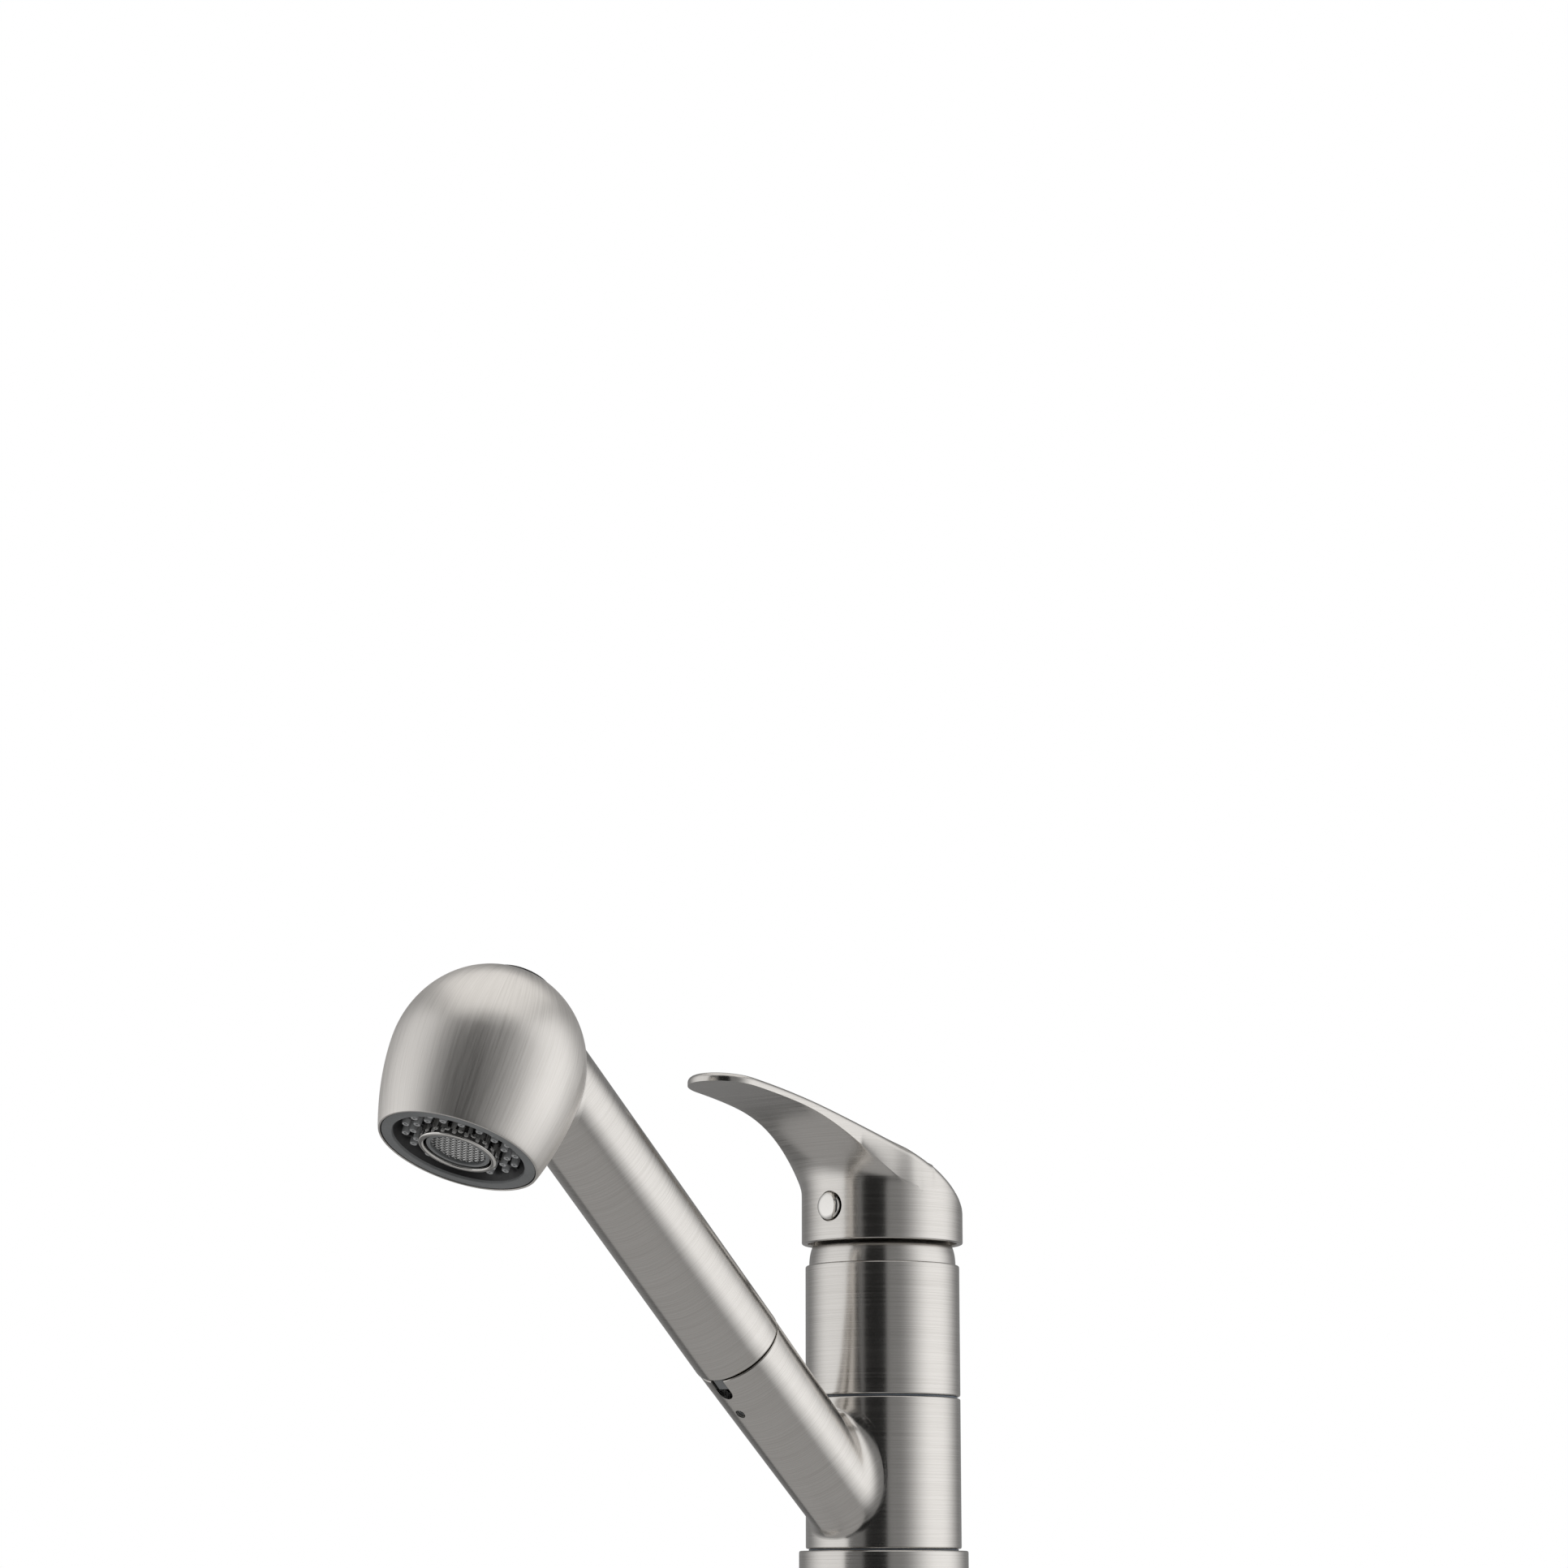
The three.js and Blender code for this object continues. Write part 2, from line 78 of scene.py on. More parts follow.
# ---- driving dimensions, in millimetres ----
BODY_R = mm_box("upper_body")[1].x
UPPER_BOTTOM = mm_box("upper_body")[0].z
UPPER_TOP = mm_box("upper_body")[1].z
SLEEVE_BOTTOM = mm_box("swivel_body")[0].z
SLEEVE_TOP = mm_box("upper_glide_ring")[0].z
SLEEVE_BORE = 21.2
BASE_R = mm_box("base_flange")[1].x
FLANGE_BOTTOM = mm_box("base_flange")[0].z
FLANGE_TOP = mm_box("base_flange")[1].z
SHANK_R = mm_box("threaded_shank")[1].x
SHANK_BORE = 13.5

SPOUT_ELEVATION = 41.8  # degrees above the horizon
SPOUT_FOOT = Vector((0, 0, 11))
SOCKET_END = 89.5  # along the spout's axis
SOCKET_R = 13.95
SOCKET_FOOT_R = 12.9
SOCKET_FOOT_RISE = 0.6
SOCKET_BORE = 11.3
SLOT_HALF = 2.5  # half the width of the slot for the wand's key
SLOT_FOOT = 84.6
DRAIN_R = 1.6
DRAIN_PLACE = 75.6
WAND_START = 90
WAND_R = mm_box("wand_grip")[1].x

FACE_CENTRE = Vector((0, -182.6, 120.05))
FACE_TILT = 66.4  # degrees below the horizon
HEAD_EDGE_R = 23.4
HEAD_MAX_R = mm_box("head_shell")[1].x
HEAD_MAX_T = 26.7
HEAD_H = 56.8
HEAD_WALL = 2.2
BUTTON_BACK_TILT = 27  # degrees the button leans back from upright
BUTTON_R = mm_box("mode_button")[1].x
BUTTON_GAP = 0.35  # between the button and its hole in the shell
AERATOR_PROUD = 1.4  # how far the aerator stands out of the spray face

HANDLE_R = 25.15
HANDLE_BOTTOM = mm_box("lever_handle")[0].z
PLUG_Z = 116
TIP_CENTRE = 71.5
TIP_R = 12

AROUND = 144  # columns round a turned piece

# ---- frames ----
BODY_FRAME = Matrix.Identity(4)
SPOUT_TURN = math.radians(90 - SPOUT_ELEVATION)
HEAD_TURN = math.radians(90 - FACE_TILT)
SPOUT_FRAME = Matrix.Translation(SPOUT_FOOT * MM) @ Matrix.Rotation(SPOUT_TURN, 4, "X")
HEAD_FRAME = Matrix.Translation(FACE_CENTRE * MM) @ Matrix.Rotation(-HEAD_TURN, 4, "X")
BUTTON_FRAME = (
    HEAD_FRAME
    @ Matrix.Translation((0, 0, HEAD_MAX_T * MM))
    @ Matrix.Rotation(-math.radians(BUTTON_BACK_TILT - (90 - FACE_TILT)), 4, "X")
)
AERATOR_FRAME = HEAD_FRAME @ Matrix.Translation((0, 0, -AERATOR_PROUD * MM))


def at(x=0.0, y=0.0, z=0.0, turn=0.0, axis="X"):
    """A frame at a point, in millimetres, turned by degrees about one axis."""
    return Matrix.Translation(Vector((x, y, z)) * MM) @ Matrix.Rotation(math.radians(turn), 4, axis)


# ---- materials ----
class Nodes:
    """A material's node tree, with its Principled shader at hand."""

    def __init__(self, name, metallic):
        self.material = bpy.data.materials.new(name)
        self.material.use_nodes = True
        self.tree = self.material.node_tree
        self.shader = self.tree.nodes["Principled BSDF"]
        self.shader.inputs["Metallic"].default_value = metallic

    def add(self, kind, **values):
        node = self.tree.nodes.new(kind)
        for key, value in values.items():
            setattr(node, key, value)
        return node

    def link(self, source, target):
        self.tree.links.new(source, target)

    def noise(self, vector, scale, detail=4.0, roughness=0.6):
        node = self.add("ShaderNodeTexNoise")
        node.inputs["Scale"].default_value = scale
        node.inputs["Detail"].default_value = detail
        node.inputs["Roughness"].default_value = roughness
        self.link(vector, node.inputs["Vector"])
        return node.outputs["Fac"]

    def spread(self, source, low, high, start=0.3, end=0.7):
        """A noise value as a number between low and high."""
        node = self.add("ShaderNodeMapRange")
        node.inputs["From Min"].default_value = start
        node.inputs["From Max"].default_value = end
        node.inputs["To Min"].default_value = low
        node.inputs["To Max"].default_value = high
        self.link(source, node.inputs["Value"])
        return node.outputs["Result"]

    def colours(self, source, *stops):
        """A noise value as a colour, from evenly spread stops."""
        node = self.add("ShaderNodeValToRGB")
        ramp = node.color_ramp
        while len(ramp.elements) < len(stops):
            ramp.elements.new(0.5)
        for i, (element, colour) in enumerate(zip(ramp.elements, stops)):
            element.position = 0.3 + 0.4 * i / (len(stops) - 1)
            element.color = (*colour, 1)
        self.link(source, node.inputs["Fac"])
        return node.outputs["Color"]

    def bump(self, height, strength, distance_mm):
        node = self.add("ShaderNodeBump")
        node.inputs["Strength"].default_value = strength
        node.inputs["Distance"].default_value = distance_mm * MM
        self.link(height, node.inputs["Height"])
        self.link(node.outputs["Normal"], self.shader.inputs["Normal"])


def brushed_metal(name, lie=BODY_FRAME, along=False, painted_light_gain=1.0, roughness=(0.16, 0.26), anisotropy=0.5):
    """Satin nickel. Its strokes run round the Z axis of the frame lie, or along it. The gain on its colour,
    above 1, paints extra light into the base colour.
    """
    m = Nodes(name, 1.0)
    into_frame = m.add("ShaderNodeMapping", vector_type="TEXTURE")
    into_frame.inputs["Location"].default_value = lie.to_translation()
    into_frame.inputs["Rotation"].default_value = lie.to_euler()
    m.link(m.add("ShaderNodeTexCoord").outputs["Object"], into_frame.inputs["Vector"])
    place = into_frame.outputs["Vector"]
    stroke_place = m.add("ShaderNodeVectorMath", operation="MULTIPLY_ADD")
    if along:
        flat = m.add("ShaderNodeVectorMath", operation="MULTIPLY")
        flat.inputs[1].default_value = (1, 1, 0)
        m.link(place, flat.inputs[0])
        unit = m.add("ShaderNodeVectorMath", operation="NORMALIZE")
        m.link(flat.outputs["Vector"], unit.inputs[0])
        height = m.add("ShaderNodeVectorMath", operation="MULTIPLY")
        height.inputs[1].default_value = (0, 0, 55)
        m.link(place, height.inputs[0])
        stroke_place.inputs[1].default_value = (58, 58, 58)
        m.link(unit.outputs["Vector"], stroke_place.inputs[0])
        m.link(height.outputs["Vector"], stroke_place.inputs[2])
    else:
        stroke_place.inputs[1].default_value = (26, 26, 3400)
        m.link(place, stroke_place.inputs[0])
    strokes = m.noise(stroke_place.outputs["Vector"], 1.0, 5.0, 0.6)
    clouds = m.noise(place, 45.0, 3.0, 0.5)
    # The stroke tones, scaled by a gain that paints in extra light when it is above 1.
    light = tuple(v * painted_light_gain for v in (0.755, 0.731, 0.701))
    middle = tuple(v * painted_light_gain for v in (0.700, 0.676, 0.646))
    dark = tuple(v * painted_light_gain for v in (0.625, 0.601, 0.571))
    m.link(m.colours(strokes, dark, middle, light), m.shader.inputs["Base Color"])
    rough = m.add("ShaderNodeMath", operation="ADD")
    m.link(m.spread(strokes, *roughness), rough.inputs[0])
    m.link(m.spread(clouds, -0.01, 0.02), rough.inputs[1])
    m.link(rough.outputs["Value"], m.shader.inputs["Roughness"])
    m.shader.inputs["Anisotropic"].default_value = anisotropy
    m.shader.inputs["Anisotropic Rotation"].default_value = 0.0 if along else 0.25
    tangent = m.add("ShaderNodeTangent", direction_type="UV_MAP", uv_map="UVMap")
    m.link(tangent.outputs["Tangent"], m.shader.inputs["Tangent"])
    m.bump(strokes, 0.08, 0.04)
    return m.material


def grained(name, dark, light, roughness, metallic=0.0, scale=900.0, bump=0.08, depth_mm=0.05):
    """A plain moulded, cast or machined surface with a fine grain and faint uneven patches."""
    m = Nodes(name, metallic)
    place = m.add("ShaderNodeTexCoord").outputs["Object"]
    grain = m.noise(place, scale)
    patches = m.noise(place, scale / 18, 2.0)
    m.link(m.colours(patches, dark, light), m.shader.inputs["Base Color"])
    m.link(m.spread(grain, *roughness), m.shader.inputs["Roughness"])
    m.bump(grain, bump, depth_mm)
    return m.material


def turned_metal(name, dark, light, roughness):
    """Drawn or machined metal with fine marks that lie level, round the Z axis."""
    m = Nodes(name, 1.0)
    place = m.add("ShaderNodeTexCoord").outputs["Object"]
    marks = m.add("ShaderNodeVectorMath", operation="MULTIPLY")
    marks.inputs[1].default_value = (60, 60, 4200)
    m.link(place, marks.inputs[0])
    lines = m.noise(marks.outputs["Vector"], 1.0)
    stains = m.noise(place, 70.0, 3.0)
    m.link(m.colours(stains, dark, light), m.shader.inputs["Base Color"])
    m.link(m.spread(lines, *roughness), m.shader.inputs["Roughness"])
    m.bump(lines, 0.12, 0.04)
    return m.material


NICKEL = brushed_metal("brushed_nickel")
NICKEL_SPOUT = brushed_metal("brushed_nickel_spout", SPOUT_FRAME)
# The head is the same nickel, but its base colour is made 1.18 times brighter: painted light for the
# brighter reflection the head catches.
NICKEL_HEAD_PAINTED_LIGHT = brushed_metal("brushed_nickel_head_painted_light", HEAD_FRAME, True, 1.18, (0.32, 0.42), 0.6)
CHROME = grained("chrome", (0.82, 0.80, 0.77), (0.88, 0.86, 0.83), (0.03, 0.09), 1.0, 300.0, 0.01)
BRASS = turned_metal("brass", (0.62, 0.46, 0.20), (0.74, 0.58, 0.28), (0.22, 0.38))
COPPER = turned_metal("copper", (0.66, 0.33, 0.20), (0.80, 0.46, 0.30), (0.20, 0.36))
STEEL = turned_metal("steel", (0.48, 0.48, 0.48), (0.62, 0.62, 0.61), (0.22, 0.36))
BLACK_PLASTIC = grained("black_plastic", (0.010, 0.010, 0.011), (0.018, 0.018, 0.019), (0.32, 0.48))
GREY_PLASTIC = grained("grey_plastic", (0.115, 0.12, 0.122), (0.15, 0.155, 0.158), (0.36, 0.50))
SEAM_PLASTIC = grained("blue_grey_plastic", (0.17, 0.20, 0.25), (0.23, 0.27, 0.32), (0.36, 0.50))
WHITE_PLASTIC = grained("white_plastic", (0.66, 0.65, 0.61), (0.74, 0.73, 0.70), (0.35, 0.50))
RUBBER = grained(
    "rubber", (0.012, 0.012, 0.012), (0.022, 0.022, 0.022), (0.55, 0.75), scale=1500.0, bump=0.2
)
NOZZLE_RUBBER = grained(
    "nozzle_rubber", (0.27, 0.275, 0.28), (0.34, 0.345, 0.35), (0.42, 0.58), scale=1500.0
)
CERAMIC = grained(
    "ceramic", (0.80, 0.80, 0.77), (0.86, 0.86, 0.84), (0.08, 0.16), scale=400.0, bump=0.01
)

BY_SLOT = {
    "brushed_nickel": NICKEL,
    "chrome": CHROME,
    "brass": BRASS,
    "copper": COPPER,
    "steel": STEEL,
    "black_plastic": BLACK_PLASTIC,
    "grey_plastic": GREY_PLASTIC,
    "white_plastic": WHITE_PLASTIC,
    "rubber": RUBBER,
    "ceramic": CERAMIC,
}
SLOT_OF = {part["node"]: part["material_slot"] for part in frame["record"]["subparts"]}
BODIES = frame["record"]["behaviour"]["bodies"]
BODY_OF = {node: body for body, nodes in BODIES.items() for node in nodes}


# ---- meshes ----
def surface(rows, loop=False, poles=(None, None)):
    """Rows of points, in millimetres, as one closed mesh with a UV map whose U runs along each row."""
    columns = len(rows[0])
    points = [p for row in rows for p in row]
    reach = [0.0]
    for i in range(len(rows)):
        step = Vector(rows[(i + 1) % len(rows)][0]) - Vector(rows[i][0])
        reach.append(reach[-1] + step.length * MM)
    faces = []
    uvs = []
    for i in range(len(rows) if loop else len(rows) - 1):
        here = i * columns
        there = ((i + 1) % len(rows)) * columns
        for j in range(columns):
            k = (j + 1) % columns
            faces.append((here + j, here + k, there + k, there + j))
            u = (j / columns, (j + 1) / columns)
            uvs += [(u[0], reach[i]), (u[1], reach[i]), (u[1], reach[i + 1]), (u[0], reach[i + 1])]
    for pole, row in ((poles[0], 0), (poles[1], len(rows) - 1)):
        if pole is None:
            continue
        for j in range(columns):
            k = (j + 1) % columns
            faces.append((row * columns + j, row * columns + k, len(points)))
            uvs += [(u / columns, reach[row]) for u in (j, j + 1, j + 0.5)]
        points.append(pole)
    mesh = bpy.data.meshes.new("surface")
    mesh.from_pydata([Vector(p) * MM for p in points], [], faces)
    layer = mesh.uv_layers.new(name="UVMap")
    layer.data.foreach_set("uv", [c for uv in uvs for c in uv])
    bm = bmesh.new()
    bm.from_mesh(mesh)
    bmesh.ops.recalc_face_normals(bm, faces=bm.faces)
    bm.to_mesh(mesh)
    bm.free()
    return mesh


def rounded(corners, loop=True, steps=5):
    """A profile of (radius, height, rounding) corners as points, each rounding drawn as a short arc."""
    points = []
    last = len(corners) - 1
    for i, corner in enumerate(corners):
        here = Vector(corner[:2])
        size = corner[2] if len(corner) > 2 else 0
        if not size or (not loop and i in (0, last)):
            points.append(tuple(here))
            continue
        back = Vector(corners[i - 1][:2]) - here
        ahead = Vector(corners[(i + 1) % len(corners)][:2]) - here
        size = min(size, back.length * 0.49, ahead.length * 0.49)
        start = here + back.normalized() * size
        end = here + ahead.normalized() * size
        for k in range(steps + 1):
            t = k / steps
            points.append(tuple((1 - t) ** 2 * start + 2 * t * (1 - t) * here + t * t * end))
    return points


def ring(radius, height, columns=AROUND, shape=None):
    row = []
    for j in range(columns):
        angle = TAU * j / columns
        r = shape(angle, radius, height) if shape else radius
        row.append((r * math.sin(angle), -r * math.cos(angle), height))
    return row


def turned(profile, loop=True, columns=AROUND, shape=None):
    """A profile of (radius, height) points turned round Z.

    A profile that isn't a loop starts and ends on the axis.
    """
    if loop:
        return surface([ring(r, z, columns, shape) for r, z in profile], loop=True)
    rows = [ring(r, z, columns, shape) for r, z in profile[1:-1]]
    return surface(rows, poles=((0, 0, profile[0][1]), (0, 0, profile[-1][1])))


def joined(meshes):
    """Several meshes as one."""
    bm = bmesh.new()
    for mesh in meshes:
        bm.from_mesh(mesh)
    whole = bpy.data.meshes.new("joined")
    bm.to_mesh(whole)
    bm.free()
    return whole


def moved(mesh, matrix):
    mesh.transform(matrix)
    return mesh


def piece(name, mesh, material, node=None, body=None, place=BODY_FRAME, sharp=35.0):
    """One shown piece, drawn in the frame place: it stands for a CAD node, or adds detail to a body."""
    mesh.transform(place)
    mesh.shade_smooth()
    mesh.set_sharp_from_angle(angle=math.radians(sharp))
    mesh.materials.append(material)
    mesh.name = name
    obj = bpy.data.objects.new(name, mesh)
    bpy.context.scene.collection.objects.link(obj)
    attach(obj, BODY_OF[node] if node else body)
    if node:
        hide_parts(node)
    return obj


def carved(obj, place, *cutters):
    """Cuts closed meshes, drawn in the frame place, out of a piece."""
    for mesh in cutters:
        tool = bpy.data.objects.new("cutter", moved(mesh, place))
        bpy.context.scene.collection.objects.link(tool)
        cut = obj.modifiers.new("cut", "BOOLEAN")
        cut.operation = "DIFFERENCE"
        cut.object = tool
        cut.solver = "EXACT"
        bpy.context.view_layer.update()
        evaluated = obj.evaluated_get(bpy.context.evaluated_depsgraph_get())
        result = bpy.data.meshes.new_from_object(evaluated)
        obj.modifiers.clear()
        old = obj.data
        obj.data = result
        result.name = obj.name
        bpy.data.objects.remove(tool)
        bpy.data.meshes.remove(old)
    return obj


def rod(radius, low, high, columns=48):
    return turned([(0, low), (radius, low), (radius, high), (0, high)], loop=False, columns=columns)


def blend_ring(tube_point, steps_along, target, spread, depth, segments=8):
    """Rows of a fillet from a tube's side onto a target surface.

    tube_point(angle, s) is a point on the tube, steps_along(angle) the s where it meets the target,
    spread(angle) the fillet's reach along the tube and across the target, target(point) the nearest
    point on the target surface, and depth(point) the step from there into the target's wall.
    """
    rows = [[] for _ in range(segments + 3)]
    for j in range(AROUND):
        angle = TAU * j / AROUND
        s = steps_along(angle)
        reach = spread(angle)
        meet = target(tube_point(angle, s))
        start = tube_point(angle, s + reach[0])
        axis_point = (tube_point(angle, s) + tube_point(angle + math.pi, s)) / 2
        away = (tube_point(angle, s) - axis_point).normalized()
        end = target(meet + away * reach[1])
        for k in range(segments + 1):
            t = k / segments
            rows[k].append((1 - t) ** 2 * start + 2 * t * (1 - t) * meet + t * t * end)
        rows[segments + 1].append(end + depth(end))
        rows[segments + 2].append(start + (axis_point - tube_point(angle, s)).normalized() * 1.0)
    return rows


# ---- base, shank and clamping hardware ----
THREAD_PITCH = 1.5
THREAD_DEPTH = 0.75
GLIDE_GAP = 0.08  # above and below each glide ring


def thread(angle, radius, height):
    """Radius of a screw thread cut into a turned surface."""
    turn = (height / THREAD_PITCH - angle / TAU) % 1.0
    return radius - THREAD_DEPTH * abs(2 * turn - 1)


def hexagon(across_flats, chamfer, low, high):
    """Radius of a hexagonal prism whose corners are chamfered at both ends."""

    def shape(angle, radius, height):
        flat = across_flats / 2 / math.cos((angle + math.pi / 6) % (math.pi / 3) - math.pi / 6)
        end = min(height - low, high - height)
        return min(radius, flat, across_flats / 2 + chamfer + end * 1.6)

    return shape


def build_base():
    bore = 17
    rim = 25.2
    gasket = [(bore, 0, 0.3), (rim, 0, 0.4), (rim, FLANGE_BOTTOM, 0.3), (bore, FLANGE_BOTTOM, 0.3)]
    piece("base_gasket_soft", turned(rounded(gasket)), RUBBER, "base_gasket")
    inner = 20.8
    seat = 6.2
    flange = [
        (bore, FLANGE_BOTTOM, 0.3),
        (BASE_R, FLANGE_BOTTOM, 0.5),
        (BASE_R, FLANGE_TOP, 0.7),
        (inner, FLANGE_TOP, 0.3),
        (inner, seat, 0.3),
        (bore, seat, 0.3),
    ]
    piece("base_flange_turned", turned(rounded(flange)), NICKEL, "base_flange")
    for node in ("lower_glide_ring", "upper_glide_ring"):
        low, high = mm_box(node)
        foot, top = low.z + GLIDE_GAP, high.z - GLIDE_GAP
        hole = 21.4
        section = [(hole, foot, 0.1), (high.x, foot, 0.15), (high.x, top, 0.15), (hole, top, 0.1)]
        piece(node + "_turned", turned(rounded(section)), SEAM_PLASTIC, node)


def build_shank():
    low, high = mm_box("threaded_shank")
    thread_top = -1.0
    rows = 4 * int((thread_top - low.z - 2) / (THREAD_PITCH / 2))
    outer = [(SHANK_R, thread_top - i * (thread_top - low.z - 1.2) / rows) for i in range(rows + 1)]
    profile = [(SHANK_BORE, high.z), (SHANK_R, high.z), *outer]
    profile += [(SHANK_R - 1.2, low.z), (SHANK_BORE, low.z)]
    cut = [(r, z, thread if low.z + 1.0 < z <= thread_top else None) for r, z in profile]
    mesh = surface([ring(r, z, AROUND, shape) for r, z, shape in cut], loop=True)
    piece("threaded_shank_cut", mesh, BRASS, "threaded_shank")

    for node, edge in (("deck_washer_rubber", 0.6), ("deck_washer_steel", 0.25)):
        low, high = mm_box(node)
        hole = 17
        section = [(hole, low.z, edge), (high.x, low.z, edge), (high.x, high.z, edge), (hole, high.z, edge)]
        material = RUBBER if edge > 0.5 else STEEL
        piece(node + "_pressed", turned(rounded(section)), material, node)

    low, high = mm_box("mounting_nut")
    flats = 2 * high.x
    levels = [low.z + k * (high.z - low.z) / 12 for k in range(13)]
    outer = [(24, z) for z in levels]
    inner = [(16.8, z) for z in reversed(levels)]
    shape = hexagon(flats, 1.0, low.z, high.z)
    profile = [(18, low.z), *outer, (18, high.z), *inner]
    mesh = surface([ring(r, z, AROUND, shape if r > 20 else None) for r, z in profile], loop=True)
    nut = piece("mounting_nut_hex", mesh, BRASS, "mounting_nut", sharp=25.0)
    holes = []
    for node in ("nut_lock_screw_left", "nut_lock_screw_right"):
        corner = mm_box(node)
        middle = (corner[0] + corner[1]) / 2
        holes.append(moved(rod(2.2, low.z - 1, high.z + 1), at(middle.x, 0, 0)))
        foot, top = corner[0].z, corner[1].z
        head_top = foot + 2.8
        head_shape = hexagon(5.2, 0.1, foot, head_top + 1)
        rows = [ring(3.0, z, 48, head_shape) for z in (foot, foot + 0.4, foot + 1.2, head_top)]
        rows += [ring(1.9, z, 48) for z in (head_top, top)]
        head = surface(rows, poles=((0, 0, foot), (0, 0, top)))
        piece(node + "_hex", head, STEEL, node, place=at(middle.x, 0, 0), sharp=25.0)
    carved(nut, BODY_FRAME, *holes)


def build_supply_tubes():
    for node in ("hot_supply_tube", "cold_supply_tube", "mixed_water_tube"):
        low, high = mm_box(node)
        middle = (low + high) / 2
        radius = (high.x - low.x) / 2
        bead = low.z + 6
        bore = 2.8
        profile = [(bore, low.z, 0.3), (radius, low.z, 0.3), (radius, bead - 1.2, 0.5)]
        profile += [(radius, bead + 1.2, 0.5), (radius, high.z, 0.3), (bore, high.z, 0.3)]
        place = at(middle.x, middle.y, 0)
        piece(node + "_drawn", turned(rounded(profile), columns=48), COPPER, node, place=place)


# ---- upper body and dome ----
def build_upper_body():
    edge = 0.7
    bore = 21
    wall = [(bore, UPPER_BOTTOM, 0.3), (BODY_R, UPPER_BOTTOM, edge)]
    wall += [(BODY_R, UPPER_TOP, edge), (bore, UPPER_TOP, 0.3)]
    piece("upper_body_turned", turned(rounded(wall)), NICKEL, "upper_body")

    low, high = mm_box("dome_collar")
    mouth = 16.6
    outside = []
    for k in range(15):
        a = math.pi / 2 * k / 14
        radius = mouth + (high.x - mouth) * math.cos(a) ** 0.62
        outside.append((radius, low.z + (high.z - low.z) * math.sin(a)))
    inside = [(mouth, high.z - 1.2), (19.5, high.z - 2.2), (21, high.z - 5), (21.4, low.z)]
    piece("dome_collar_spun", turned(outside + inside), NICKEL, "dome_collar")


# ---- lever ----
LEVER_BACK = 116.6  # height of the lever's top edge at the back of its round base
LEVER_RISE = 39.3  # how far the top edge would climb from there, if the lever went on for ever
LEVER_RUN = 38.5  # the length over which the climb fades out
LEVER_BEND = 1.8
LEVER_EDGE = 3.1  # height of the blade's rim
LEVER_CROWN = 2.0  # how far the lever's top bulges above its edge
NECK_Z = 120  # where the upright neck ends
CAVITY_R = 23.3
CAVITY_TOP = 115.5
BLADE_START = 4  # where the sides leave the round base, ahead of the body's axis
UNDER_FILLET = 32.0  # how far the curve from the neck to the blade's underside reaches
TIP_SPREAD = math.radians(20)  # the part of the round neck that faces the lever's tip
BLADE_SPREAD = math.acos(BLADE_START / HANDLE_R)  # and the part that faces the whole blade


def lever_top(u):
    """Height of the lever's top edge at u ahead of the body's axis."""
    return LEVER_BACK + LEVER_RISE * (1 - math.exp(-max(u + HANDLE_R, 0) / LEVER_RUN)) ** LEVER_BEND


def lever_round(u):
    """Size of the rounding along the lever's top edge."""
    return 1.6 + 2.4 * min(max((45 - u) / 60, 0), 1)


def lever_half(u):
    """Half of the lever's width at u: the round base, easing into the narrower blade."""
    base = math.sqrt(max(HANDLE_R**2 - u**2, 0))
    if u <= BLADE_START:
        return base
    blade = TIP_R + (HANDLE_R - TIP_R) * math.exp(-((u / 26) ** 1.5))
    ease = min((u - BLADE_START) / 8, 1)
    return (base + blade + math.sqrt((base - blade) ** 2 + ease**2) - (1 - ease) * abs(base - blade)) / 2


def lever_outline(a):
    """Plan outline, as (x, u). Angle 0 is the lever's tip and pi the back of its round base."""
    side = 1 if a <= math.pi else -1
    a = min(a, TAU - a)
    if a >= BLADE_SPREAD:
        return side * HANDLE_R * math.sin(a), HANDLE_R * math.cos(a)
    if a >= TIP_SPREAD:
        q = (BLADE_SPREAD - a) / (BLADE_SPREAD - TIP_SPREAD)
        u = BLADE_START + (TIP_CENTRE - BLADE_START) * (0.39 * q + 0.61 * q**2.4)
        return side * lever_half(u), u
    turn = (1 - a / TIP_SPREAD) * math.pi / 2
    return side * lever_half(TIP_CENTRE) * math.cos(turn), TIP_CENTRE + TIP_R * math.sin(turn)


def lever_under(x, u):
    """Height of the lever's underside: a curve out of the upright neck, then the thin blade."""
    neck = min(NECK_Z, lever_top(u) - max(LEVER_EDGE, lever_round(u)) - 1.5)
    reach = min(max(math.hypot(x, u) - HANDLE_R, 0) / UNDER_FILLET, 1)
    return neck + (lever_top(u) - LEVER_EDGE - neck) * (1 - (1 - reach) ** 2.6) ** (1 / 2.6)


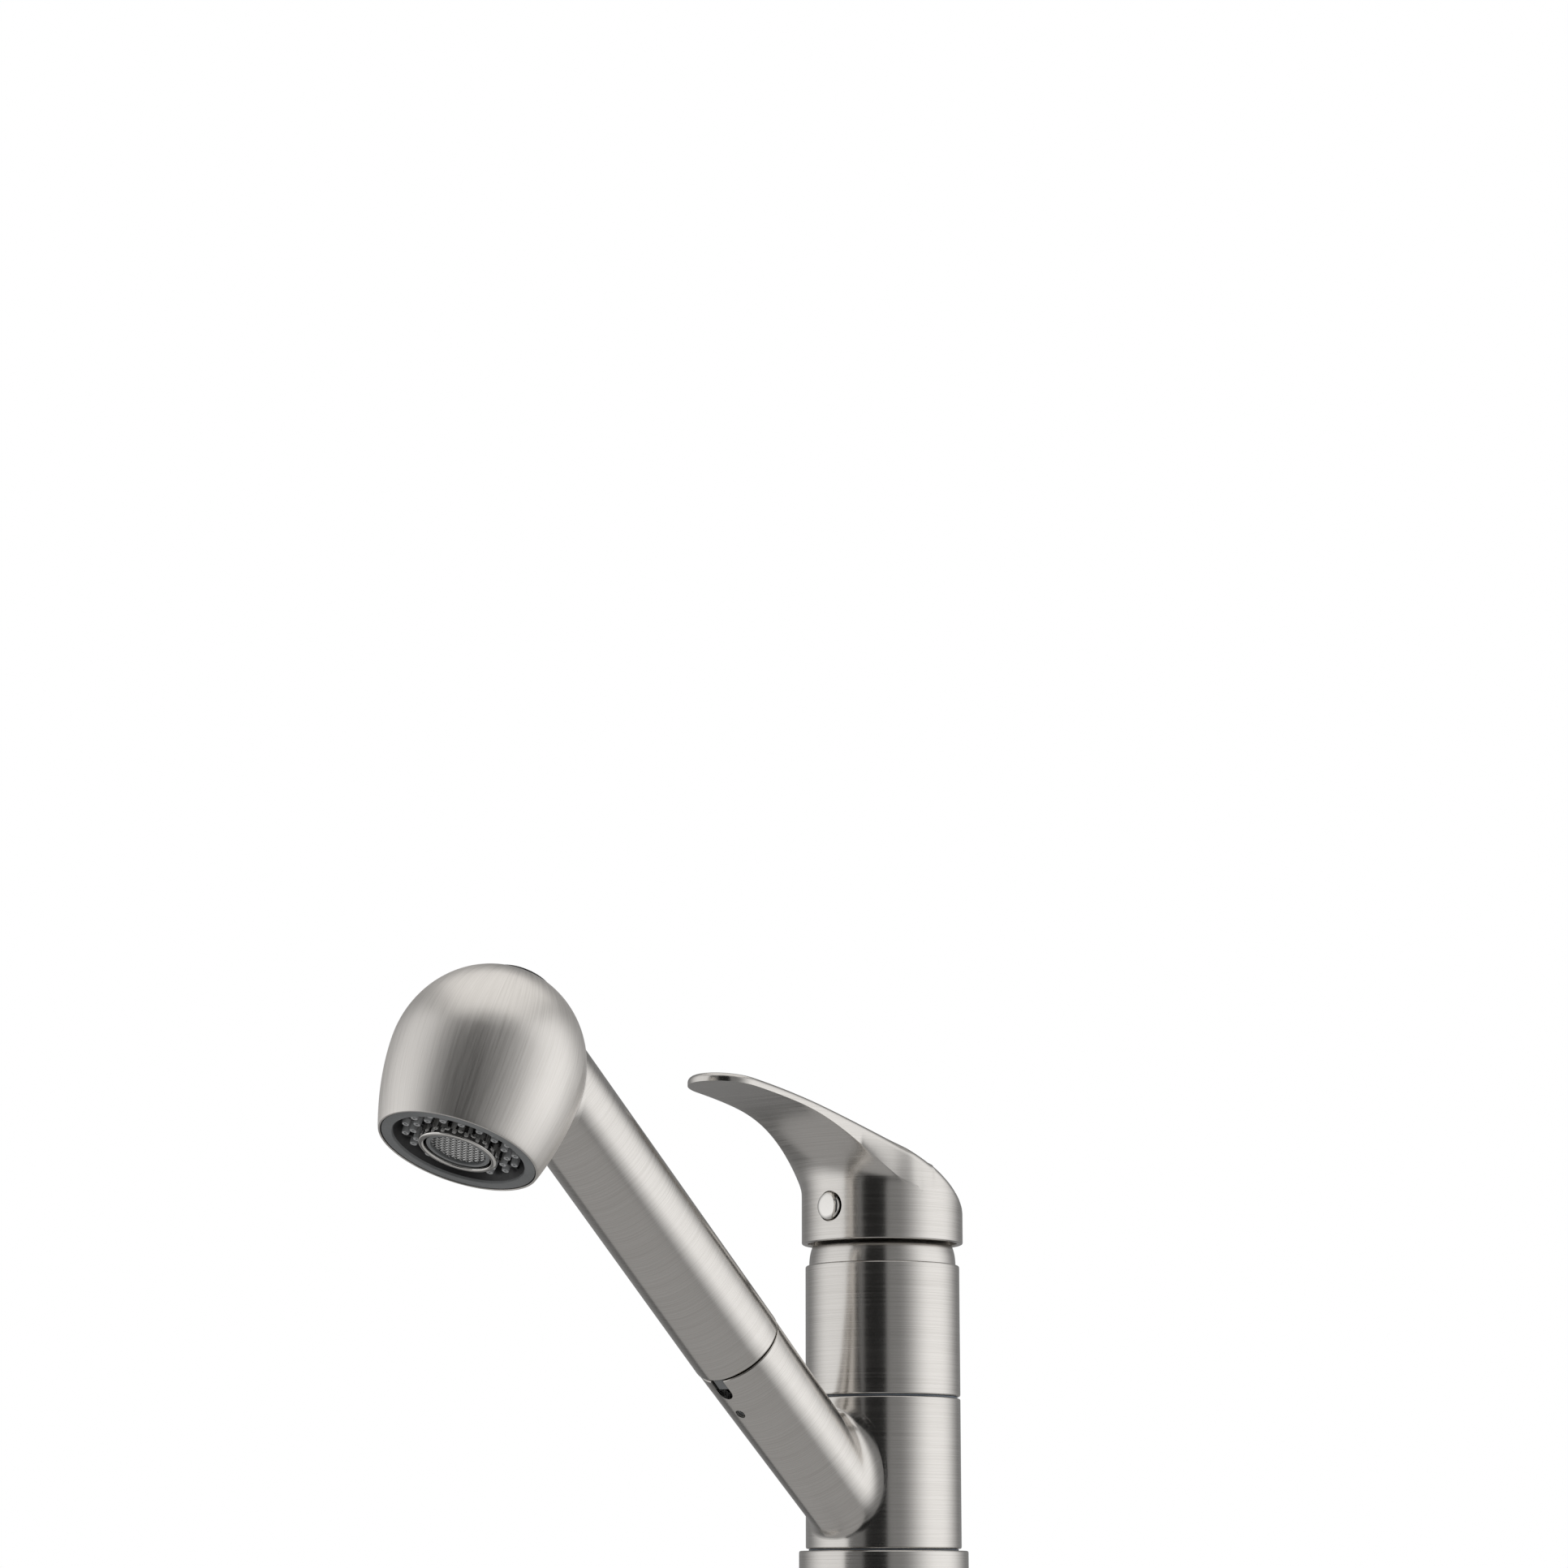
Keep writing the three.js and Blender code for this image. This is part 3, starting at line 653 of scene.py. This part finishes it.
def build_lever():
    columns = 288
    angles = [TAU * j / columns for j in range(columns)]
    outline = [lever_outline(a) for a in angles]
    inward = []
    for j in range(columns):
        before, after = outline[j - 1], outline[(j + 1) % columns]
        tangent = Vector((after[0] - before[0], after[1] - before[1])).normalized()
        inward.append((tangent.y, -tangent.x))

    def circle(radius, z):
        return [(radius * math.sin(a), -radius * math.cos(a), z) for a in angles]

    rows = [circle(14, CAVITY_TOP), circle(CAVITY_R, 110.2)]
    skirt = [(CAVITY_R, 110), (CAVITY_R, HANDLE_BOTTOM, 0.5)]
    skirt += [(HANDLE_R, HANDLE_BOTTOM, 0.6), (HANDLE_R, 110)]
    rows += [circle(r, z) for r, z in rounded(skirt, False)[1:]]
    steps = 26
    for k in range(steps + 1):
        out = (k / steps) ** 1.6
        row = []
        for a, (x, u) in zip(angles, outline):
            neck = Vector((HANDLE_R * math.sin(a), HANDLE_R * math.cos(a)))
            spot = neck.lerp(Vector((x, u)), out)
            spot *= max(HANDLE_R / spot.length, 1)
            row.append((spot.x, -spot.y, lever_under(spot.x, spot.y) + 0.5 * k / steps))
        rows.append(row)
    foot = rows[-1]
    for k in range(8):
        t = k / 7 * math.pi / 2
        row = []
        for (x, u), n, low in zip(outline, inward, foot):
            size = lever_round(u)
            inset = size * (1 - math.cos(t))
            rise = lever_top(u) - size + size * math.sin(t)
            row.append((x + n[0] * inset, -(u + n[1] * inset), max(rise, low[2] + 0.05 * (k + 1))))
        rows.append(row)
    rim = rows[-1]
    middle = 25
    for k in range(1, 14):
        keep = 1 - k / 14
        row = []
        for x, y, z in rim:
            px, pu = x * keep, middle + (-y - middle) * keep
            across = min(abs(px) / max(lever_half(pu), 1), 1)
            lift = LEVER_CROWN * (1 - across**2) * min(k / 4, 1)
            row.append((px, -pu, lever_top(pu) + lift))
        rows.append(row)
    top = (0, -middle, lever_top(middle) + LEVER_CROWN)
    mesh = surface(rows, poles=((0, 0, CAVITY_TOP), top))
    lever = piece("lever_handle_cast", mesh, NICKEL, "lever_handle", sharp=50.0)
    carved(lever, BODY_FRAME, moved(rod(4.7, 21.6, 32), at(0, 0, PLUG_Z, 90)))

    plug = [(0, 21.8), (4.25, 21.8, 0.2), (4.25, 25.9, 0.45), (3.2, 26.45, 0.6), (0, 26.75)]
    mesh = turned(rounded(plug, False), False, 72)
    piece("index_plug_domed", mesh, CHROME, "index_plug", place=at(0, 0, PLUG_Z, 90))


# ---- swivel body with its slanted socket ----
def build_swivel():
    edge = 0.6
    sleeve = [
        (SLEEVE_BORE, SLEEVE_BOTTOM, 0.3),
        (BODY_R, SLEEVE_BOTTOM, edge),
        (BODY_R, SLEEVE_TOP, edge),
        (SLEEVE_BORE, SLEEVE_TOP, 0.3),
    ]
    piece("swivel_sleeve", turned(rounded(sleeve)), NICKEL, "swivel_body")

    to_body = Matrix.Rotation(SPOUT_TURN, 3, "X")
    to_spout = to_body.inverted()

    def arm_point(angle, s):
        """A point on the socket's outside, in the spout's frame."""
        radius = SOCKET_FOOT_R + (SOCKET_R - SOCKET_FOOT_R) * (s - 12) / (SOCKET_END - 12)
        rise = SOCKET_FOOT_RISE * (1 - s / SOCKET_END)
        return Vector((radius * math.sin(angle), rise - radius * math.cos(angle), s))

    def on_sleeve(point):
        """The nearest point on the sleeve's outside."""
        world = to_body @ point + SPOUT_FOOT
        flat = Vector((world.x, world.y))
        flat *= (BODY_R + 0.01) / flat.length
        return to_spout @ (Vector((flat.x, flat.y, world.z)) - SPOUT_FOOT)

    def meeting(angle):
        low, high = 0.0, SOCKET_END
        for _ in range(40):
            s = (low + high) / 2
            world = to_body @ arm_point(angle, s) + SPOUT_FOOT
            if math.hypot(world.x, world.y) < BODY_R:
                low = s
            else:
                high = s
        return high

    def reach(angle):
        top = (1 - math.cos(angle)) / 2
        side = abs(math.sin(angle))
        along = 1.6 + 5.5 * top + 2.2 * side
        return along, 1.5 + 5.0 * top + 1.2 * side

    def into_wall(end):
        world = to_body @ end + SPOUT_FOOT
        return to_spout @ (Vector((-world.x, -world.y, 0)).normalized() * 1.4)

    blend = blend_ring(arm_point, meeting, on_sleeve, reach, into_wall, 10)
    rows = []
    mouth = [(SOCKET_BORE, 34), (SOCKET_BORE, SOCKET_END, 0.3), (SOCKET_R, SOCKET_END, 0.5), (SOCKET_R, 84)]
    for r, s in rounded(mouth, False)[:-1]:
        rows.append([Vector(p) for p in ring(r, s)])
    straight_end = 69.0
    for s in (84.0, 80.0, 78.0, 76.0, 73.0, 71.0, straight_end):
        rows.append([arm_point(TAU * j / AROUND, s) for j in range(AROUND)])
    for k in range(1, 9):
        row = []
        for j in range(AROUND):
            s = straight_end + (blend[0][j].z - straight_end) * k / 9
            row.append(arm_point(TAU * j / AROUND, s))
        rows.append(row)
    rows += blend[:-1]
    mesh = surface(rows, loop=True)
    arm = piece("swivel_socket", mesh, NICKEL_SPOUT, body="swivel", place=SPOUT_FRAME, sharp=40.0)
    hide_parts("swivel_body")
    arch = moved(rod(SLOT_HALF, 8, 18), at(0, 0, SLOT_FOOT, 90))
    drain = moved(rod(DRAIN_R, 8, 18), at(0, 0, DRAIN_PLACE, 90))
    carved(arm, SPOUT_FRAME, key_slot(SLOT_FOOT), arch, drain)


def key_slot(foot):
    """A cutter for the slot in the socket's mouth that takes the wand's key."""
    corners = ((-SLOT_HALF, -18), (SLOT_HALF, -18), (SLOT_HALF, -8), (-SLOT_HALF, -8))
    rows = [[(x, y, s) for x, y in corners] for s in (foot, 100)]
    return surface(rows, poles=((0, -13, foot), (0, -13, 100)))


def build_socket_parts():
    liner = rounded([(10, 60, 0.2), (11, 60, 0.2), (11, 89, 0.2), (10, 89, 0.3)])
    mesh = turned(liner)
    obj = piece("socket_liner_moulded", mesh, BLACK_PLASTIC, "socket_liner", place=SPOUT_FRAME)
    carved(obj, SPOUT_FRAME, key_slot(82), moved(rod(1.8, 9.5, 12), at(0, 0, DRAIN_PLACE, 90)))
    screw = [(0, 10.1), (1.6, 10.1, 0.1), (1.6, 12.6, 0.3), (0.8, 12.6), (0.8, 11.9), (0, 11.9)]
    mesh = turned(rounded(screw, False), False, 36)
    place = SPOUT_FRAME @ at(0, 0, DRAIN_PLACE, 90)
    piece("liner_screw_cap", mesh, GREY_PLASTIC, "liner_screw", place=place)
    foot, end = 85.5, 89.8
    corners = ((-2, -13.2), (2, -13.2), (2, -10), (-2, -10))
    key = [[(x, y, s) for x, y in corners] for s in (foot, end)]
    mesh = surface(key, poles=((0, -11.6, foot), (0, -11.6, end)))
    tab = piece("alignment_key_tab", mesh, GREY_PLASTIC, "alignment_key", place=SPOUT_FRAME)
    bevel = tab.modifiers.new("bevel", "BEVEL")
    bevel.width = 0.4 * MM
    bevel.segments = 3


# ---- wand tube ----
def head_radius(t, inset=0.0):
    """Radius of the head at height t above its face."""
    widest = HEAD_MAX_R - inset
    if t < HEAD_MAX_T:
        return widest - (HEAD_MAX_R - HEAD_EDGE_R) * ((HEAD_MAX_T - t) / HEAD_MAX_T) ** 1.87
    return widest * math.sqrt(max(1 - ((t - HEAD_MAX_T) / (HEAD_H - inset - HEAD_MAX_T)) ** 2, 0))


def build_wand_tube():
    end = 215
    bore = 12.2
    section = [(bore, WAND_START, 0.3), (WAND_R, WAND_START, 0.9), (WAND_R, end), (bore, end)]
    points = rounded(section)
    long = [(WAND_R, WAND_START + (end - WAND_START) * k / 20) for k in range(1, 20)]
    index = max(i for i, p in enumerate(points) if p[0] > WAND_R - 0.001 and p[1] < end - 1)
    points[index + 1 : index + 1] = long
    piece("wand_grip_drawn", turned(points), NICKEL_SPOUT, "wand_grip", place=SPOUT_FRAME)

    to_spout = SPOUT_FRAME.inverted() @ HEAD_FRAME
    to_head = to_spout.inverted()

    def tube_point(angle, s):
        return Vector((WAND_R * math.sin(angle), -WAND_R * math.cos(angle), s))

    def in_head(point):
        return (to_head @ (point * MM)) / MM

    def on_head(point, lift=0.05):
        local = in_head(point)
        dome = HEAD_H - HEAD_MAX_T
        if local.z > HEAD_MAX_T:
            spot = Vector((local.x / HEAD_MAX_R, local.y / HEAD_MAX_R, (local.z - HEAD_MAX_T) / dome))
            spot.normalize()
            radius = HEAD_MAX_R + lift
            height = HEAD_MAX_T + spot.z * (dome + lift)
            local = Vector((spot.x * radius, spot.y * radius, height))
        else:
            flat = Vector((local.x, local.y)).normalized() * (head_radius(local.z) + lift)
            local = Vector((flat.x, flat.y, local.z))
        return (to_spout @ (local * MM)) / MM

    def meeting(angle):
        low, high = 150.0, 213.0
        for _ in range(40):
            s = (low + high) / 2
            local = in_head(tube_point(angle, s))
            inside = 0 < local.z < HEAD_H and math.hypot(local.x, local.y) < head_radius(local.z)
            if inside:
                high = s
            else:
                low = s
        return high

    def reach(angle):
        under = (1 + math.cos(angle)) / 2
        return -(0.6 + 3.4 * under), 0.5 + 2.6 * under

    def into_head(end):
        local = in_head(end)
        centre = Vector((0, 0, HEAD_MAX_T))
        return (to_spout.to_3x3() @ (centre - local).normalized()) * 1.2

    rows = blend_ring(tube_point, meeting, on_head, reach, into_head, 10)
    mesh = surface(rows, loop=True)
    piece("wand_neck_blend", mesh, NICKEL_SPOUT, body="wand", place=SPOUT_FRAME, sharp=45.0)


# ---- spray head ----
def build_head_shell():
    outer = []
    for k in range(48):
        a = math.pi / 2 * (1 - k / 47)
        outer.append((HEAD_MAX_R * math.cos(a), HEAD_MAX_T + (HEAD_H - HEAD_MAX_T) * math.sin(a)))
    for k in range(1, 22):
        t = HEAD_MAX_T * (1 - k / 22)
        outer.append((head_radius(t), t))
    outer[0] = (0, HEAD_H)
    lip = [(head_radius(1.2), 1.2), (HEAD_EDGE_R - 0.05, 0.0, 0.45), (22.8, 0.0, 0.2), (22.8, 4.2)]
    lip = rounded(lip, False)[1:]
    inner = [(21.2, 4.4)]
    for k in range(20):
        t = 6 + (HEAD_H - HEAD_WALL - 6) * math.sin(math.pi / 2 * k / 19)
        inner.append((head_radius(t, HEAD_WALL), t))
    inner[-1] = (0, HEAD_H - HEAD_WALL)
    mesh = turned(outer + lip + inner, loop=False)
    # The shell takes the nickel with painted light in its colour.
    shell = piece("head_shell_spun", mesh, NICKEL_HEAD_PAINTED_LIGHT, "head_shell", place=HEAD_FRAME)
    hole = rod(BUTTON_R + BUTTON_GAP, 20, 40, 96)
    carved(shell, BUTTON_FRAME, hole)


def build_mode_button():
    cap = [(0, 25), (BUTTON_R, 25, 0.2), (BUTTON_R, 29.0, 0.5), (BUTTON_R - 1.6, 29.6, 0.6)]
    cap += [(6, 30.3, 1.0), (3, 30.75, 1.0), (0, 30.9)]
    mesh = turned(rounded(cap, False), False, 96)
    piece("mode_button_soft", mesh, RUBBER, "mode_button", place=BUTTON_FRAME)
    coils = 6
    rows = []
    steps = coils * 24
    wire = 0.45
    coil_r = 4.6
    coil_foot = 15.5
    coil_height = 8.6
    for i in range(steps + 1):
        a = TAU * coils * i / steps
        z = coil_foot + coil_height * i / steps
        out = Vector((math.sin(a), -math.cos(a), 0))
        centre = out * coil_r + Vector((0, 0, z))
        row = []
        for k in range(8):
            turn = TAU * k / 8
            row.append(centre + out * wire * math.cos(turn) + Vector((0, 0, wire * math.sin(turn))))
        rows.append(row)
    ends = (sum(rows[0], Vector()) / 8, sum(rows[-1], Vector()) / 8)
    mesh = surface(rows, poles=ends)
    coil = piece("button_spring_coil", mesh, STEEL, "button_spring", place=BUTTON_FRAME)
    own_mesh(coil)


def build_face():
    edge = [(19.5, 0.25, 0.35), (22.55, 0.25, 0.3), (22.55, 4, 0.2), (18.6, 4, 0.2), (18.6, 3.4, 0.2)]
    piece("face_ring_moulded", turned(rounded(edge)), GREY_PLASTIC, "face_ring", place=HEAD_FRAME)

    bowl = [
        (12, 5.7, 0.2),
        (17.2, 5.7, 0.8),
        (19.3, 0.9, 0.3),
        (20.7, 4.4, 0.2),
        (20.8, 7.8, 0.2),
        (12, 7.8, 0.2),
    ]
    plate = [turned(rounded(bowl))]
    webs = 8
    for i in range(webs):
        turn = Matrix.Rotation(TAU * (i + 0.5) / webs, 4, "Z")
        section = ((-0.35, 2.9), (0.35, 2.9), (0.45, 6.2), (-0.45, 6.2))
        blade = [[(x, y, t) for x, t in section] for y in (-18.2, -15, -11.8)]
        plate.append(moved(surface(blade, poles=((0, -18.2, 4.5), (0, -11.8, 4.5))), turn))
    piece("nozzle_plate_moulded", joined(plate), BLACK_PLASTIC, "nozzle_plate", place=HEAD_FRAME)

    mat = [turned(rounded([(12.2, 8, 0.1), (20.4, 8, 0.1), (20.4, 9.2, 0.1), (12.2, 9.2, 0.1)]))]
    nozzle = [(0.42, 9), (0.42, 2.2, 0.1), (1.0, 2.0, 0.35), (1.12, 2.7, 0.3), (1.3, 5.6), (1.4, 9)]
    for radius, count, lead in ((13.7, 16, 0.0), (16.3, 16, 0.5)):
        for i in range(count):
            angle = TAU * (i + lead) / count
            web_gap = abs((angle / TAU * webs) % 1.0 - 0.5)
            if lead and web_gap < 0.1:
                continue
            tip = turned(rounded(nozzle), columns=24)
            mat.append(moved(tip, at(radius * math.sin(angle), -radius * math.cos(angle), 0)))
    piece("nozzle_mat_moulded", joined(mat), NOZZLE_RUBBER, "nozzle_mat", place=HEAD_FRAME)


def build_aerator():
    half_flats = 10.75
    collar = 11.5

    def flats(angle, radius, t):
        """Radius of the collar, whose outside has eight wrench flats behind its rim."""
        across = half_flats / math.cos(angle % (TAU / 8) - TAU / 16)
        ease = min(max((t - 2.6) / 0.6, 0), 1)
        return min(radius, across + (1 - ease) * 2) if radius > 11 else radius

    rim = rounded([(9.9, 7), (9.9, 0.9, 0.35), (collar, 0.9, 0.5), (collar, 2.4)], False)
    outer = [(collar, 2.4 + 0.2 * k) for k in range(1, 6)] + [(collar, 13), (9, 13), (9, 8)]
    mesh = turned(rim + outer, columns=192, shape=flats)
    piece("aerator_collar_plated", mesh, CHROME, "aerator_collar", place=AERATOR_FRAME, sharp=25.0)
    cage = rounded([(8.1, 1.5, 0.25), (9.35, 1.5, 0.35), (9.35, 6.6, 0.2), (8.1, 6.6, 0.2)])
    piece("aerator_cage_moulded", turned(cage), GREY_PLASTIC, "aerator_cage", place=AERATOR_FRAME)

    wires = []
    screen_r = 8.15
    count, pitch, thick = 13, 1.22, 0.24
    for across in (0, 1):
        for i in range(count):
            offset = (i - (count - 1) / 2) * pitch
            half = math.sqrt(max(screen_r**2 - offset**2, 0.5))
            rows = []
            steps = 40
            for k in range(steps + 1):
                place = -half + 2 * half * k / steps
                weave = 0.2 * math.cos(math.pi * (place / pitch + i + across))
                row = []
                for c in range(6):
                    side = thick * math.cos(TAU * c / 6)
                    lift = thick * math.sin(TAU * c / 6)
                    spot = (offset + side, place, 2.6 + weave + lift)
                    row.append((spot[1], spot[0], spot[2]) if across else spot)
                rows.append(row)
            ends = [sum((Vector(p) for p in row), Vector()) / 6 for row in (rows[0], rows[-1])]
            wires.append(surface(rows, poles=ends))
    piece("aerator_screen_woven", joined(wires), STEEL, "aerator_screen", place=AERATOR_FRAME)
    backing = rounded([(0, 3.6), (8.0, 3.6, 0.2), (8.0, 5.2, 0.2), (0, 5.2)], False)
    mesh = turned(backing, False)
    obj = piece("aerator_honeycomb", mesh, BLACK_PLASTIC, body="wand", place=AERATOR_FRAME)


# ---- stage ----
CAMERA_AZIMUTH = 40.44  # degrees from -Y towards +X
CAMERA_DISTANCE = 1.2223  # metres from the body's axis
CAMERA_HEIGHT = 0.0023  # metres above the deck
CAMERA_YAW = 1.44  # degrees the camera turns off the axis
CAMERA_PITCH = 11.583  # degrees it looks up by
CAMERA_LENS = 89.39  # millimetres
FLOOR_SIZE = 4.0  # metres from the middle to each edge
FLOOR_GAP = 0.0005  # metres between the floor and the lowest point
FLOOR_GLOW = 0.38


def heading(azimuth, elevation=0.0):
    a, e = math.radians(azimuth), math.radians(elevation)
    return Vector((math.sin(a) * math.cos(e), -math.cos(a) * math.cos(e), math.sin(e)))


def build_camera():
    data = bpy.data.cameras.new("camera")
    data.lens = CAMERA_LENS
    data.sensor_width = 36
    data.clip_start = 0.01
    camera = bpy.data.objects.new("camera", data)
    bpy.context.scene.collection.objects.link(camera)
    camera.location = heading(CAMERA_AZIMUTH) * CAMERA_DISTANCE + Vector((0, 0, CAMERA_HEIGHT))
    look = -heading(CAMERA_AZIMUTH + CAMERA_YAW, -CAMERA_PITCH)
    camera.rotation_euler = look.to_track_quat("-Z", "Y").to_euler()
    bpy.context.scene.camera = camera


def light_panel(name, azimuth, elevation, distance, width, height, brightness):
    """A softbox that faces the faucet. Brightness is its radiance."""
    data = bpy.data.lights.new(name, "AREA")
    data.shape = "RECTANGLE"
    data.size = width
    data.size_y = height
    data.energy = brightness * math.pi * width * height
    data.color = (1.0, 0.985, 0.965)
    lamp = bpy.data.objects.new(name, data)
    bpy.context.scene.collection.objects.link(lamp)
    back = heading(CAMERA_AZIMUTH + azimuth, elevation)
    lamp.location = back * distance + Vector((0, 0, 0.08))
    lamp.rotation_euler = (-back).to_track_quat("-Z", "Y").to_euler()
    lamp.visible_camera = False


BAND_RADIUS = 1.0  # metres
# Heights above the deck in metres, and the share of the band's brightness there.
BAND_HEIGHTS = ((-0.65, 0.4), (-0.1, 1.0), (1.05, 0.8))
ROOM_LIGHT = 0.25
SOFTBOX_FEATHER = 55  # degrees over which a softbox fades out
# Softboxes: centre and half width in degrees right of the camera, then brightness.
SOFTBOXES = ((-75, 12, 0.7), (85, 8, 0.9))
# Flags beside the camera, which hide the softboxes: their two edges in degrees, then brightness.
FLAGS = ((-53, -27, 0.18), (-27, 6, 0.02))


def band_light(angle):
    """Brightness of the studio at an angle right of the camera."""
    for start, end, brightness in FLAGS:
        if start <= angle < end:
            return brightness
    glow = ROOM_LIGHT
    for centre, half, brightness in SOFTBOXES:
        away = min(max(abs(angle - centre) - half, 0) / SOFTBOX_FEATHER, 1)
        glow += brightness * (1 + math.cos(math.pi * away)) / 2
    return glow


def light_band():
    """Two feathered softboxes and two flags, as one upright ring that the camera doesn't see."""
    steps = 360
    points = []
    values = []
    for height, strength in BAND_HEIGHTS:
        for j in range(steps):
            points.append(heading(CAMERA_AZIMUTH - 180 + j) * BAND_RADIUS + Vector((0, 0, height)))
            values += [band_light(j - 180) * strength] * 3 + [1.0]
    faces = []
    for i in range(len(BAND_HEIGHTS) - 1):
        low, high = i * steps, (i + 1) * steps
        for j in range(steps):
            k = (j + 1) % steps
            faces.append((low + j, low + k, high + k, high + j))
    mesh = bpy.data.meshes.new("light_band")
    mesh.from_pydata(points, [], faces)
    layer = mesh.color_attributes.new(name="glow", type="FLOAT_COLOR", domain="POINT")
    layer.data.foreach_set("color", values)
    m = Nodes("light_band_cloth", 0.0)
    m.shader.inputs["Base Color"].default_value = (0, 0, 0, 1)
    m.shader.inputs["Roughness"].default_value = 1.0
    m.shader.inputs["Specular IOR Level"].default_value = 0.0
    m.shader.inputs["Emission Strength"].default_value = 1.0
    glow = m.add("ShaderNodeVertexColor", layer_name="glow")
    m.link(glow.outputs["Color"], m.shader.inputs["Emission Color"])
    mesh.materials.append(m.material)
    obj = bpy.data.objects.new("light_band", mesh)
    bpy.context.scene.collection.objects.link(obj)
    obj.visible_camera = False
    obj.visible_shadow = False


def build_stage():
    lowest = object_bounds()[0].z
    floor = bpy.data.meshes.new("floor")
    signs = ((-1, -1), (1, -1), (1, 1), (-1, 1))
    corners = [(x * FLOOR_SIZE, y * FLOOR_SIZE, lowest - FLOOR_GAP) for x, y in signs]
    floor.from_pydata(corners, [], [(0, 1, 2, 3)])
    obj = bpy.data.objects.new("floor", floor)
    bpy.context.scene.collection.objects.link(obj)
    obj.visible_glossy = False
    paper = grained(
        "floor_paper", (0.82, 0.82, 0.82), (0.86, 0.86, 0.86), (0.7, 0.8), scale=20.0, bump=0.0
    )
    glow = paper.node_tree.nodes["Principled BSDF"].inputs
    glow["Emission Color"].default_value = (1, 1, 1, 1)
    glow["Emission Strength"].default_value = FLOOR_GLOW
    floor.materials.append(paper)

    world = bpy.data.worlds.new("studio")
    bpy.context.scene.world = world
    world.use_nodes = True
    tree = world.node_tree
    tree.nodes.clear()
    path = tree.nodes.new("ShaderNodeLightPath")
    room = tree.nodes.new("ShaderNodeBackground")
    room.inputs["Color"].default_value = (0.36, 0.358, 0.355, 1)
    white = tree.nodes.new("ShaderNodeBackground")
    white.inputs["Color"].default_value = (1, 1, 1, 1)
    mix = tree.nodes.new("ShaderNodeMixShader")
    output = tree.nodes.new("ShaderNodeOutputWorld")
    tree.links.new(path.outputs["Is Camera Ray"], mix.inputs["Fac"])
    tree.links.new(room.outputs["Background"], mix.inputs[1])
    tree.links.new(white.outputs["Background"], mix.inputs[2])
    tree.links.new(mix.outputs["Shader"], output.inputs["Surface"])
    bpy.context.scene.view_settings.view_transform = "Standard"

    light_panel("softbox_top", 0, 89, distance=1.15, width=1.5, height=1.5, brightness=0.5)
    light_band()


def finish_cad_nodes():
    """Gives every CAD node that is still shown the material of its slot."""
    for name, obj in frame["nodes"].items():
        obj.data.materials.clear()
        obj.data.materials.append(BY_SLOT[SLOT_OF[name]])


finish_cad_nodes()
build_base()
build_shank()
build_supply_tubes()
build_upper_body()
build_lever()
build_swivel()
build_socket_parts()
build_wand_tube()
build_head_shell()
build_mode_button()
build_face()
build_aerator()

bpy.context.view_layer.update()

build_stage()
build_camera()
